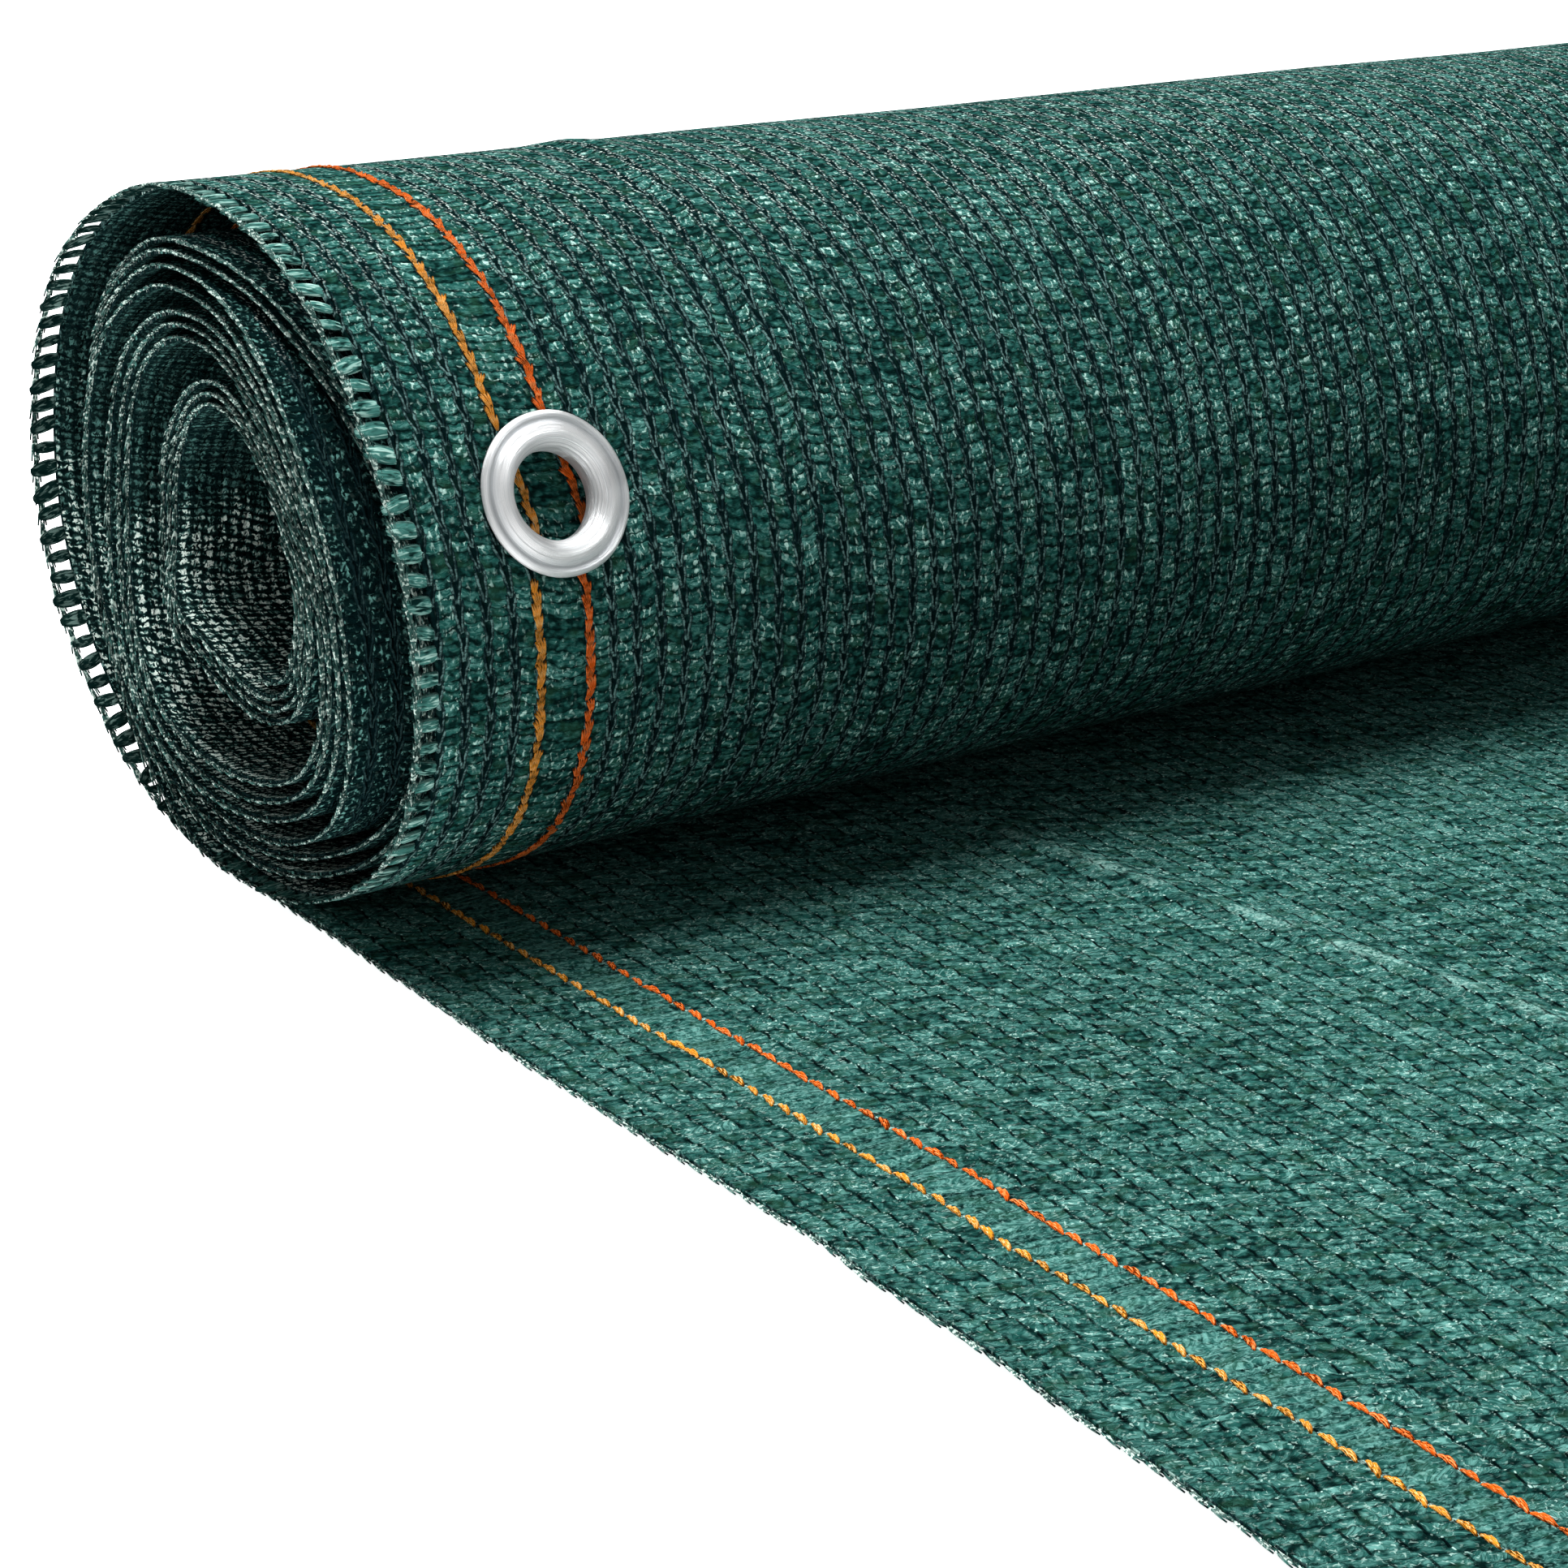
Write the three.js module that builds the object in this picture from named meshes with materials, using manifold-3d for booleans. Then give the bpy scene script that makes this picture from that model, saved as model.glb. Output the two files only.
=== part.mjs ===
// Knitted privacy screen netting, partly unrolled: a wound roll, its loose end lying flat
// in front, and one eyelet at each selvedge. Millimetres, +Z up, the netting rests on z = 0.
import * as THREE from 'three';
import { mergeVertices } from 'three/addons/utils/BufferGeometryUtils.js';
import Module from 'manifold-3d';

const wasm = await Module();
wasm.setup();

// The cloth.
const WIDTH = 750;
const CLOTH_THICKNESS = 1.0;
const CLEARANCE = 0.3;

// The roll: its winding centre, and how finely its section is drawn.
const ROLL_CENTRE_Y = 106;
const ROLL_CENTRE_Z = 46.8;
const DEGREES_PER_STEP = 10;
const QUARTER_TURN_LENGTH = (Math.PI / 2) * ROLL_CENTRE_Z;
// The loose end joins the roll out of sight below it, this far in front of the winding centre.
const JOIN_AHEAD_OF_CENTRE = 17;

// The eyelets, and the patch of selvedge that holds each of them.
const EYELET_OUTER_RADIUS = 10;
const EYELET_THROAT_RADIUS = 5;
const EYELET_WALL = 0.6;
const EYELET_CROWN = 1.7;
const EYELET_FROM_SELVEDGE = 23.1;
const EYELET_QUARTER = 2.8;
const PATCH_FROM_QUARTER = 2.5;
const PATCH_TO_QUARTER = 3.1;
const PATCH_WIDTH = 40.5;
const PATCH_HOLE_RADIUS = 6.2;
const FLATTENED_RADIUS = 10;
const FLATTENED_BLEND = 6;
const PATCH_DEGREES_PER_STEP = 3;
const PATCH_COLUMNS = 16;
const ROUND_STEPS = 64;
// The cloth lies this much lower under an eyelet than on the round of the roll.
const SEAT_DEPTH = FLATTENED_RADIUS ** 2 / (2 * ROLL_CENTRE_Z);
// How far a cutting shape reaches past the cloth: beyond the selvedge, outwards and inwards.
const CUT_PAST_SELVEDGE = 30;
const CUT_OUTWARDS = 1;
const CUT_INWARDS = 0.2;
const PUNCH_LENGTH = 12;

// The outer wrap seen from its near end, every 30 degrees from the top round by the front.
// reach: how far it lies from the winding centre. edge: where its selvedge stands along X.
const OUTLINE = [
  { reach: 43.3, edge: -2.4 },
  { reach: 44.1, edge: -3.8 },
  { reach: 46.7, edge: -4.7 },
  { reach: 49.2, edge: -3.7 },
  { reach: 49.6, edge: -1.6 },
  { reach: 47.0, edge: -0.2 },
  { reach: 46.2, edge: -0.7 },
  { reach: 46.0, edge: -2.7 },
  { reach: 45.6, edge: -4.5 },
  { reach: 48.0, edge: -4.5 },
  { reach: 50.3, edge: -3.2 },
  { reach: 46.8, edge: -2.1 },
];

// A row per turn, from the outer wrap inwards. Each turn starts at the bottom and runs up the
// back, over the top and down the front. Each number is a share of the outer wrap's reach, and
// bottomBack lies half way between bottom and back.
const TURN_SHARES = [
  { bottom: 1, bottomBack: 1, back: 1, backTop: 1,
    top: 1, topFront: 1, front: 1, frontBottom: 1 },
  { bottom: 1, bottomBack: 0.955, back: 0.91, backTop: 0.83,
    top: 0.875, topFront: 0.9, front: 0.93, frontBottom: 0.945 },
  { bottom: 0.925, bottomBack: 0.92, back: 0.875, backTop: 0.8,
    top: 0.84, topFront: 0.865, front: 0.903, frontBottom: 0.905 },
  { bottom: 0.86, bottomBack: 0.885, back: 0.84, backTop: 0.77,
    top: 0.79, topFront: 0.83, front: 0.876, frontBottom: 0.86 },
  { bottom: 0.8, bottomBack: 0.81, back: 0.805, backTop: 0.72,
    top: 0.725, topFront: 0.8, front: 0.849, frontBottom: 0.8 },
  { bottom: 0.7, bottomBack: 0.72, back: 0.62, backTop: 0.64,
    top: 0.675, topFront: 0.77, front: 0.822, frontBottom: 0.745 },
  { bottom: 0.645, bottomBack: 0.67, back: 0.58, backTop: 0.6,
    top: 0.64, topFront: 0.74, front: 0.795, frontBottom: 0.695 },
  { bottom: 0.595, bottomBack: 0.62, back: 0.54, backTop: 0.56,
    top: 0.605, topFront: 0.71, front: 0.768, frontBottom: 0.52 },
  { bottom: 0.3, bottomBack: 0.31, back: 0.35, backTop: 0.35,
    top: 0.48, topFront: 0.68, front: 0.741, frontBottom: 0.465 },
  { bottom: 0.26, bottomBack: 0.275, back: 0.315, backTop: 0.315,
    top: 0.44, topFront: 0.65, front: 0.714, frontBottom: 0.43 },
  { bottom: 0.225, bottomBack: 0.24, back: 0.28, backTop: 0.28,
    top: 0.4, topFront: 0.62, front: 0.687, frontBottom: 0.395 },
];

// How far each turn's selvedge stands along X beside the outer wrap's: below zero it sticks out.
const TURN_SETS = [
  { bottom: 0.7, back: 0, top: 0, front: 0 },
  { bottom: 0, back: 6, top: -1.5, front: 4.2 },
  { bottom: 0.7, back: 4.8, top: -2, front: 4.2 },
  { bottom: -0.3, back: 3.6, top: -2.5, front: -5.3 },
  { bottom: -1.3, back: 2.5, top: -2.6, front: -5.6 },
  { bottom: -4.3, back: 2.2, top: -2.6, front: -5.8 },
  { bottom: -4.3, back: 2.7, top: -2.6, front: -5.8 },
  { bottom: -4.3, back: 3, top: -2.6, front: -5.6 },
  { bottom: -5, back: 2.8, top: -2.6, front: -5.4 },
  { bottom: -5, back: 2.8, top: -2.6, front: -5.1 },
  { bottom: -5, back: 2.8, top: -2.6, front: -4.8 },
];

const SHARES = TURN_SHARES.flatMap((turn) => [
  turn.bottom, turn.bottomBack, turn.back, turn.backTop,
  turn.top, turn.topFront, turn.front, turn.frontBottom,
]);
const SETS = TURN_SETS.flatMap((turn) => [turn.bottom, turn.back, turn.top, turn.front]);
const LAST_QUARTER = (SHARES.length - 1) / 2;

// A smooth closed curve through evenly spaced values.
function around(values, turnShare) {
  const count = values.length;
  const place = (((turnShare % 1) + 1) % 1) * count;
  const index = Math.floor(place);
  const t = place - index;
  const [a, b, c, d] = [-1, 0, 1, 2].map((k) => values[(index + k + count) % count]);
  return 0.5 * (2 * b + (c - a) * t + (2 * a - 5 * b + 4 * c - d) * t * t
    + (3 * b - a - 3 * c + d) * t * t * t);
}

// A smooth open curve through evenly spaced values that never swings past them.
function along(values, place) {
  const at = (k) => values[Math.min(Math.max(k, 0), values.length - 1)];
  const slope = (k) => {
    const before = at(k) - at(k - 1);
    const after = at(k + 1) - at(k);
    return before * after > 0 ? (2 * before * after) / (before + after) : 0;
  };
  const index = Math.min(Math.floor(place), values.length - 2);
  const t = place - index;
  return at(index) * (1 + 2 * t) * (1 - t) ** 2 + slope(index) * t * (1 - t) ** 2
    + at(index + 1) * t * t * (3 - 2 * t) + slope(index + 1) * t * t * (t - 1);
}

// The outer face of the cloth at a winding place, in quarter turns from the bottom by the back.
function windingPoint(quarter) {
  const angle = Math.PI + quarter * (Math.PI / 2);
  const turnShare = angle / (2 * Math.PI);
  const reach = around(OUTLINE.map((row) => row.reach), turnShare) * along(SHARES, 2 * quarter);
  const layersBelow = Math.round(quarter / 4);
  const lowest = layersBelow * (CLOTH_THICKNESS + CLEARANCE);
  return {
    y: ROLL_CENTRE_Y - reach * Math.sin(angle),
    z: Math.max(ROLL_CENTRE_Z + reach * Math.cos(angle), lowest),
    edge: along(SETS, quarter) + around(OUTLINE.map((row) => row.edge), turnShare),
  };
}

// The outer face's point and the direction from it into the roll.
function windingFrame(quarter) {
  const step = 0.02;
  const before = windingPoint(Math.max(quarter - step, 0));
  const after = windingPoint(Math.min(quarter + step, LAST_QUARTER));
  const length = Math.hypot(after.y - before.y, after.z - before.z);
  const point = windingPoint(quarter);
  return {
    ...point,
    inY: -(after.z - before.z) / length,
    inZ: (after.y - before.y) / length,
  };
}

function rollStations(fromQuarter, toQuarter, degrees) {
  const count = Math.ceil(((toQuarter - fromQuarter) * 90) / degrees);
  return Array.from({ length: count + 1 }, (_, k) => (
    windingFrame(fromQuarter + ((toQuarter - fromQuarter) * k) / count)
  ));
}

// A closed sheet from two grids of points, rows along the cloth and columns across it.
function sheetGeometry(outerRows, innerRows) {
  const rows = outerRows.length;
  const columns = outerRows[0].length;
  const positions = [...outerRows.flat(), ...innerRows.flat()].flat();
  const outer = (r, c) => r * columns + c;
  const inner = (r, c) => rows * columns + outer(r, c);
  const faces = [];
  const quad = (a, b, c, d) => faces.push(a, b, c, a, c, d);
  for (let r = 0; r < rows - 1; r += 1) {
    for (let c = 0; c < columns - 1; c += 1) {
      quad(outer(r, c), outer(r + 1, c), outer(r + 1, c + 1), outer(r, c + 1));
      quad(inner(r, c), inner(r, c + 1), inner(r + 1, c + 1), inner(r + 1, c));
    }
    quad(outer(r, 0), inner(r, 0), inner(r + 1, 0), outer(r + 1, 0));
    const c = columns - 1;
    quad(outer(r, c), outer(r + 1, c), inner(r + 1, c), inner(r, c));
  }
  for (let c = 0; c < columns - 1; c += 1) {
    quad(outer(0, c), outer(0, c + 1), inner(0, c + 1), inner(0, c));
    const r = rows - 1;
    quad(outer(r, c), inner(r, c), inner(r, c + 1), outer(r, c + 1));
  }
  const geometry = new THREE.BufferGeometry();
  geometry.setAttribute('position', new THREE.Float32BufferAttribute(positions, 3));
  geometry.setIndex(faces);
  return geometry;
}

function toManifold(geometry) {
  const bare = geometry.clone();
  bare.deleteAttribute('normal');
  bare.deleteAttribute('uv');
  const merged = mergeVertices(bare, 1e-4);
  return new wasm.Manifold(new wasm.Mesh({
    numProp: 3,
    vertProperties: new Float32Array(merged.attributes.position.array),
    triVerts: new Uint32Array(merged.index.array),
  }));
}

function fromManifold(manifold) {
  const { vertProperties, triVerts } = manifold.getMesh();
  const geometry = new THREE.BufferGeometry();
  geometry.setAttribute('position', new THREE.BufferAttribute(new Float32Array(vertProperties), 3));
  geometry.setIndex(new THREE.BufferAttribute(new Uint32Array(triVerts), 1));
  return geometry;
}

function named(name, geometry, colour, metalness, roughness) {
  geometry.computeVertexNormals();
  const material = new THREE.MeshStandardMaterial({ color: colour, metalness, roughness });
  const mesh = new THREE.Mesh(geometry, material);
  mesh.name = name;
  return mesh;
}

// Where the selvedges and the cut end lie, so that the whole part is centred on X and Y.
const wholeRoll = rollStations(0, LAST_QUARTER, DEGREES_PER_STEP);
const edges = wholeRoll.map((station) => station.edge);
const NEAR_SELVEDGE_X = -WIDTH / 2 - (Math.min(...edges) + Math.max(...edges)) / 2;
const CUT_END_Y = -Math.max(...wholeRoll.map((station) => station.y));
const JOIN_Y = ROLL_CENTRE_Y - JOIN_AHEAD_OF_CENTRE;

// The wound cloth from below the roll to its innermost end, one long sheet.
function woundCloth() {
  const stations = [
    { y: JOIN_Y + CLEARANCE, z: 0, edge: 0, inY: 0, inZ: 1 },
    ...wholeRoll,
  ];
  const row = (station, depth) => [0, WIDTH].map((across) => [
    NEAR_SELVEDGE_X + station.edge + across,
    station.y + station.inY * depth,
    station.z + station.inZ * depth,
  ]);
  return sheetGeometry(
    stations.map((station) => row(station, 0)),
    stations.map((station) => row(station, CLOTH_THICKNESS)),
  );
}

// The space that a patch and the clearance round it take out of the wound cloth.
function patchSpace(fromX, toX) {
  const margin = CLEARANCE / QUARTER_TURN_LENGTH;
  const from = PATCH_FROM_QUARTER - margin;
  const to = PATCH_TO_QUARTER + margin;
  const stations = rollStations(from, to, PATCH_DEGREES_PER_STEP);
  const row = (station, depth) => [fromX, toX].map((x) => [
    x,
    station.y + station.inY * depth,
    station.z + station.inZ * depth,
  ]);
  return toManifold(sheetGeometry(
    stations.map((station) => row(station, -CUT_OUTWARDS)),
    stations.map((station) => row(station, CLOTH_THICKNESS + CUT_INWARDS)),
  ));
}

// The near selvedge is side -1 and the far one side +1.
const eyeletSeat = windingFrame(EYELET_QUARTER);
const selvedgeX = (side) => (side < 0 ? NEAR_SELVEDGE_X : NEAR_SELVEDGE_X + WIDTH);
const eyeletX = (side) => selvedgeX(side) + eyeletSeat.edge - side * EYELET_FROM_SELVEDGE;
const patchInnerX = (side) => selvedgeX(side) + eyeletSeat.edge - side * PATCH_WIDTH;

// How far the cloth is drawn in under an eyelet, so that the metal lies on it without rocking.
function drawnIn(station, x, centreX) {
  const offY = station.y - eyeletSeat.y;
  const offZ = station.z - eyeletSeat.z;
  const below = offY * eyeletSeat.inY + offZ * eyeletSeat.inZ;
  const slide = Math.abs(offY * eyeletSeat.inZ - offZ * eyeletSeat.inY);
  const away = Math.hypot(slide, x - centreX);
  const inside = FLATTENED_RADIUS + FLATTENED_BLEND - away;
  const hold = THREE.MathUtils.smoothstep(inside, 0, FLATTENED_BLEND);
  return Math.max(SEAT_DEPTH - below, 0) * hold;
}

// The patch of selvedge with the eyelet's hole, from its outer edge to where the cloth goes on.
function eyeletPatch(side) {
  const stations = rollStations(PATCH_FROM_QUARTER, PATCH_TO_QUARTER, PATCH_DEGREES_PER_STEP);
  const row = (station, depth) => Array.from({ length: PATCH_COLUMNS + 1 }, (_, k) => {
    const ends = [selvedgeX(side) + station.edge, patchInnerX(side)].sort((a, b) => a - b);
    const x = ends[0] + ((ends[1] - ends[0]) * k) / PATCH_COLUMNS;
    const sink = depth + drawnIn(station, x, eyeletX(side));
    return [x, station.y + station.inY * sink, station.z + station.inZ * sink];
  });
  const sheet = toManifold(sheetGeometry(
    stations.map((station) => row(station, 0)),
    stations.map((station) => row(station, CLOTH_THICKNESS)),
  ));
  const punch = new THREE.CylinderGeometry(
    PATCH_HOLE_RADIUS, PATCH_HOLE_RADIUS, PUNCH_LENGTH, ROUND_STEPS,
  );
  placeOnSeat(punch, eyeletX(side));
  return fromManifold(sheet.subtract(toManifold(punch)));
}

// Turns a shape made round +Y, with its show face at y > 0, and sets it on the eyelet's seat.
function placeOnSeat(geometry, centreX) {
  const outwards = new THREE.Vector3(0, -eyeletSeat.inY, -eyeletSeat.inZ);
  const turn = new THREE.Quaternion().setFromUnitVectors(new THREE.Vector3(0, 1, 0), outwards);
  geometry.applyQuaternion(turn);
  geometry.translate(
    centreX,
    eyeletSeat.y + eyeletSeat.inY * SEAT_DEPTH,
    eyeletSeat.z + eyeletSeat.inZ * SEAT_DEPTH,
  );
  return geometry;
}

// A pressed eyelet: a domed show face with a rolled rim, a throat, and the flange behind.
// The profile runs anticlockwise, radius first and then height above the cloth's outer face.
function eyelet(side) {
  const back = -CLOTH_THICKNESS - CLEARANCE;
  const throat = EYELET_THROAT_RADIUS;
  const rim = EYELET_OUTER_RADIUS;
  const profile = [
    [throat, back - EYELET_WALL + 0.3],
    [throat + 0.3, back - EYELET_WALL],
    [rim - 1.5, back - EYELET_WALL],
    [rim - 1.2, back - EYELET_WALL / 2],
    [rim - 1.5, back],
    [throat + EYELET_WALL, back],
    [throat + EYELET_WALL, CLEARANCE],
    [rim - 0.3, CLEARANCE],
    [rim, CLEARANCE + 0.3],
    [rim, CLEARANCE + 0.6],
    [rim - 0.4, CLEARANCE + 0.95],
    [rim - 1.1, EYELET_CROWN - 0.5],
    [rim - 2.1, EYELET_CROWN - 0.1],
    [rim - 3.1, EYELET_CROWN],
    [rim - 4.0, EYELET_CROWN - 0.15],
    [throat + 0.4, EYELET_CROWN - 0.55],
    [throat, EYELET_CROWN - 1.2],
  ];
  const points = [...profile, profile[0]].map((point) => new THREE.Vector2(...point));
  return placeOnSeat(new THREE.LatheGeometry(points, ROUND_STEPS), eyeletX(side));
}

// The loose end: flat in front of the roll, from its cut end to the join below the roll.
function looseEnd() {
  const rows = 8;
  const columns = 12;
  const grid = (z) => Array.from({ length: rows + 1 }, (_, r) => (
    Array.from({ length: columns + 1 }, (_ignored, c) => [
      NEAR_SELVEDGE_X + (WIDTH * c) / columns,
      CUT_END_Y + ((JOIN_Y - CUT_END_Y) * r) / rows,
      z,
    ])
  ));
  return sheetGeometry(grid(0), grid(CLOTH_THICKNESS));
}

const nearCut = patchSpace(selvedgeX(-1) - CUT_PAST_SELVEDGE, patchInnerX(-1) + CLEARANCE);
const farCut = patchSpace(patchInnerX(1) - CLEARANCE, selvedgeX(1) + CUT_PAST_SELVEDGE);
const roll = toManifold(woundCloth()).subtract(nearCut).subtract(farCut);

const CLOTH_COLOUR = 0x2b5f54;
const METAL_COLOUR = 0xd8dadb;
const part = new THREE.Group();
part.name = 'privacy_screen_netting';
part.add(
  named('netting_roll', fromManifold(roll), CLOTH_COLOUR, 0, 0.6),
  named('loose_end', looseEnd(), CLOTH_COLOUR, 0, 0.6),
  named('eyelet_patch_near', eyeletPatch(-1), CLOTH_COLOUR, 0, 0.6),
  named('eyelet_patch_far', eyeletPatch(1), CLOTH_COLOUR, 0, 0.6),
  named('eyelet_near', eyelet(-1), METAL_COLOUR, 1, 0.25),
  named('eyelet_far', eyelet(1), METAL_COLOUR, 1, 0.25),
);

export default part;
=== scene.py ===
"""Knitted privacy screen netting, partly unrolled, dressed for a picture.

The cloth is one long knitted sheet. It lies flat from its cut end, turns up behind the roll and
winds inwards to its inner end. Lengths in the tables are millimetres, and meshes are in metres.
"""

import bmesh
import bpy
import numpy as np
from bpy.props import FloatProperty, FloatVectorProperty, IntProperty, PointerProperty
from bpy.types import Operator, Panel, PropertyGroup
from mathutils import Matrix, Vector


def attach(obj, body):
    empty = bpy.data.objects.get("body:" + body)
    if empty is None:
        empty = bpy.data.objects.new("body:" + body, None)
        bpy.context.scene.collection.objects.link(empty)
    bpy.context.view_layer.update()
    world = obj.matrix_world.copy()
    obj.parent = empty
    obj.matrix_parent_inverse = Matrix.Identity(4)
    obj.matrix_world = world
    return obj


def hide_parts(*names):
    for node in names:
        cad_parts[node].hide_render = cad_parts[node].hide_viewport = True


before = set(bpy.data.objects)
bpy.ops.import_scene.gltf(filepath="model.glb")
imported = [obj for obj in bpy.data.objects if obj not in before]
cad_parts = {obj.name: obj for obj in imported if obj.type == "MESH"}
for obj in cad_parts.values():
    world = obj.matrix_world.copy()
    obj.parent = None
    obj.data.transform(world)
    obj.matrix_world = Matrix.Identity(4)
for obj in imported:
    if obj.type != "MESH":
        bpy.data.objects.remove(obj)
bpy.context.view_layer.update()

bl_info = {
    "name": "Privacy Screen Netting",
    "version": (1, 0, 0),
    "blender": (4, 5, 0),
    "location": "3D View > Sidebar > Netting",
    "description": "Builds a partly unrolled knitted screen netting with its eyelets",
    "category": "Object",
}

MM = 0.001

# The cloth and the place of its two ends.
WIDTH = 750.0
NEAR_SELVEDGE_X = -370.82
CUT_END_Y = -154.25
CLOTH_SPACE = 1.0
LAYER_CLEARANCE = 0.3

# The roll: its winding centre, and the outer wrap seen from the near end every 30 degrees from
# the top round by the front. Reach is the distance from the centre, and edge the selvedge's place.
ROLL_CENTRE_Y = 106.0
ROLL_CENTRE_Z = 46.8
OUTLINE_REACH = (43.3, 44.1, 46.7, 49.2, 49.6, 47.0, 46.2, 46.0, 45.6, 48.0, 50.3, 46.8)
OUTLINE_EDGE = (-2.4, -3.8, -4.7, -3.7, -1.6, -0.2, -0.7, -2.7, -4.5, -4.5, -3.2, -2.1)

# A row per turn from the outer wrap inwards, from the bottom up the back, over the top and down
# the front in eighths of a turn. Each number is a share of the outer wrap's reach.
TURN_SHARES = (
    (1, 1, 1, 1, 1, 1, 1, 1),
    (1, 0.955, 0.91, 0.83, 0.875, 0.9, 0.93, 0.945),
    (0.925, 0.92, 0.875, 0.8, 0.84, 0.865, 0.903, 0.905),
    (0.86, 0.885, 0.84, 0.77, 0.79, 0.83, 0.876, 0.86),
    (0.8, 0.81, 0.805, 0.72, 0.725, 0.8, 0.849, 0.8),
    (0.7, 0.72, 0.62, 0.64, 0.675, 0.77, 0.822, 0.745),
    (0.645, 0.67, 0.58, 0.6, 0.64, 0.74, 0.795, 0.695),
    (0.595, 0.62, 0.54, 0.56, 0.605, 0.71, 0.768, 0.52),
    (0.3, 0.31, 0.35, 0.35, 0.48, 0.68, 0.741, 0.465),
    (0.26, 0.275, 0.315, 0.315, 0.44, 0.65, 0.714, 0.43),
    (0.225, 0.24, 0.28, 0.28, 0.4, 0.62, 0.687, 0.395),
)

# How far along the winding the turns' shares are evened out, in quarters of a turn.
SHARE_BLEND = 0.25

# How far each turn's selvedge stands along X beside the outer wrap's, in quarters of a turn.
TURN_SETS = (
    (0.7, 0, 0, 0),
    (0, 6, -1.5, 4.2),
    (0.7, 4.8, -2, 4.2),
    (-0.3, 3.6, -2.5, -5.3),
    (-1.3, 2.5, -2.6, -5.6),
    (-4.3, 2.2, -2.6, -5.8),
    (-4.3, 2.7, -2.6, -5.8),
    (-4.3, 3, -2.6, -5.6),
    (-5, 2.8, -2.6, -5.4),
    (-5, 2.8, -2.6, -5.1),
    (-5, 2.8, -2.6, -4.8),
)

# The flat part's near selvedge wanders: place along Y, and how far it stands inwards. The far one
# wanders in even waves, and both die out this far into the cloth.
SELVEDGE_WANDER = (
    (-154.0, 0.5), (-120.0, 0.8), (-87.0, 0.35), (-73.0, 0.8), (-57.0, 0.6), (-39.0, 1.1),
    (-26.0, 0.8), (-15.0, 1.7), (14.0, 1.0), (47.0, 0.6), (70.0, 0.6), (85.0, 0.4),
    (93.0, 0.2), (102.0, 0.76), (111.0, 0.6), (126.0, 0.0),
)
FAR_WANDER = 0.7
FAR_WANDER_WAVE = 23.0
WANDER_FADE = 70.0

# A soft raised crease in the flat part: place along Y, and distance from the near selvedge. Then
# its height and reach, and the places along Y between which it comes and goes.
FLAT_CREASE = (
    (-15.5, 111.5), (3.0, 107.5), (19.0, 105.0), (31.0, 102.0), (58.0, 97.0),
)
CREASE_HEIGHT = 0.75
CREASE_REACH = 3.6
CREASE_COMES = (-60.0, 0.0)
CREASE_GOES = (58.0, 84.0)

# How far the flat part stands off the floor, and its edges besides, within this far of them.
FLAT_LIFT = 0.25
EDGE_LIFT = 0.35
EDGE_LIFT_REACH = 16.0

# Slow waves over the whole cloth: how high they are on the roll against the flat part.
ROLL_RIPPLE = 1.1

# A low ridge runs over the top of the roll near its end: its distance from the selvedge, its
# height and reach, and the quarters of a turn over which it comes and goes.
RIDGE_ACROSS = 61.5
RIDGE_HEIGHT = 0.9
RIDGE_REACH = 3.2
RIDGE_COMES = (1.5, 2.0)
RIDGE_GOES = (2.6, 3.1)

# The lane of rungs stands open round the outer wrap alone, between these quarters of a turn.
# Elsewhere it is drawn shut, and the body comes this near the selvedge.
LANE_OPENS = 0.15
LANE_CLOSES = 4.1
CLOSED_LANE_EDGE = 0.7

# How far the links of a marking stripe stand to each side in turn.
STRIPE_WEAVE = 0.13

# How deep under the outer face of the cloth each kind of stitch is set.
RUNG_DEPTH = 0.5
EDGE_LINK_DEPTH = 0.42
STRIPE_LINK_DEPTH = 0.12
STRIPE_FLOAT_DEPTH = 0.9

# Where each kind of random choice starts.
RUNG_SEED = 11
EDGE_LINK_SEED = 21
STRIPE_LINK_SEED = 31
STRIPE_FLOAT_SEED = 51
EYELET_SEED = 71

# The eyelets: their quarter of a turn, their distance from the selvedge, and the flattened cloth
# and hole under them. Only cloth wound within so many quarters of a turn is flattened.
EYELET_QUARTER = 2.8
EYELET_FROM_SELVEDGE = 23.1
EYELET_OUTER_RADIUS = 10.0
FLATTENED_RADIUS = 10.0
FLATTENED_BLEND = 6.0
FLATTENED_QUARTERS = 0.9
CLOTH_HOLE_RADIUS = 7.2

# The eyelet's cross-section, radius and height, from the throat's back end round to its front,
# and the groove's place along it in centimetres.
EYELET_PROFILE = (
    (5.45, -1.55), (5.6, -1.85), (5.95, -1.95), (8.2, -1.92), (8.7, -1.8), (8.8, -1.62),
    (8.6, -1.46), (8.2, -1.4), (5.75, -1.4), (5.62, -1.3), (5.6, 0.2), (5.75, 0.3), (9.5, 0.3),
    (9.8, 0.36), (9.97, 0.52), (10.0, 0.75), (9.9, 0.98), (9.62, 1.14), (9.28, 1.2),
    (9.05, 1.08), (8.85, 1.03), (8.6, 1.14), (8.05, 1.48), (7.5, 1.64), (7.0, 1.67),
    (6.6, 1.56), (6.2, 1.32), (5.86, 0.98), (5.62, 0.6), (5.49, 0.25), (5.45, 0.0),
)
GROOVE_PLACE = 1.443
EYELET_FACETS = 112
EYELET_DENT = 0.018

# The camera, as the picture was taken: its place, its heading from +Y towards +X, how far it
# looks down and leans, and its lens on a square frame.
CAMERA_PLACE = (-578.65, -282.70, 177.50)
CAMERA_HEADING = 0.65047
CAMERA_PITCH = 0.3535
CAMERA_LEAN = -0.03227
CAMERA_LENS = 83.21
CAMERA_SENSOR = 36.0

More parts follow.
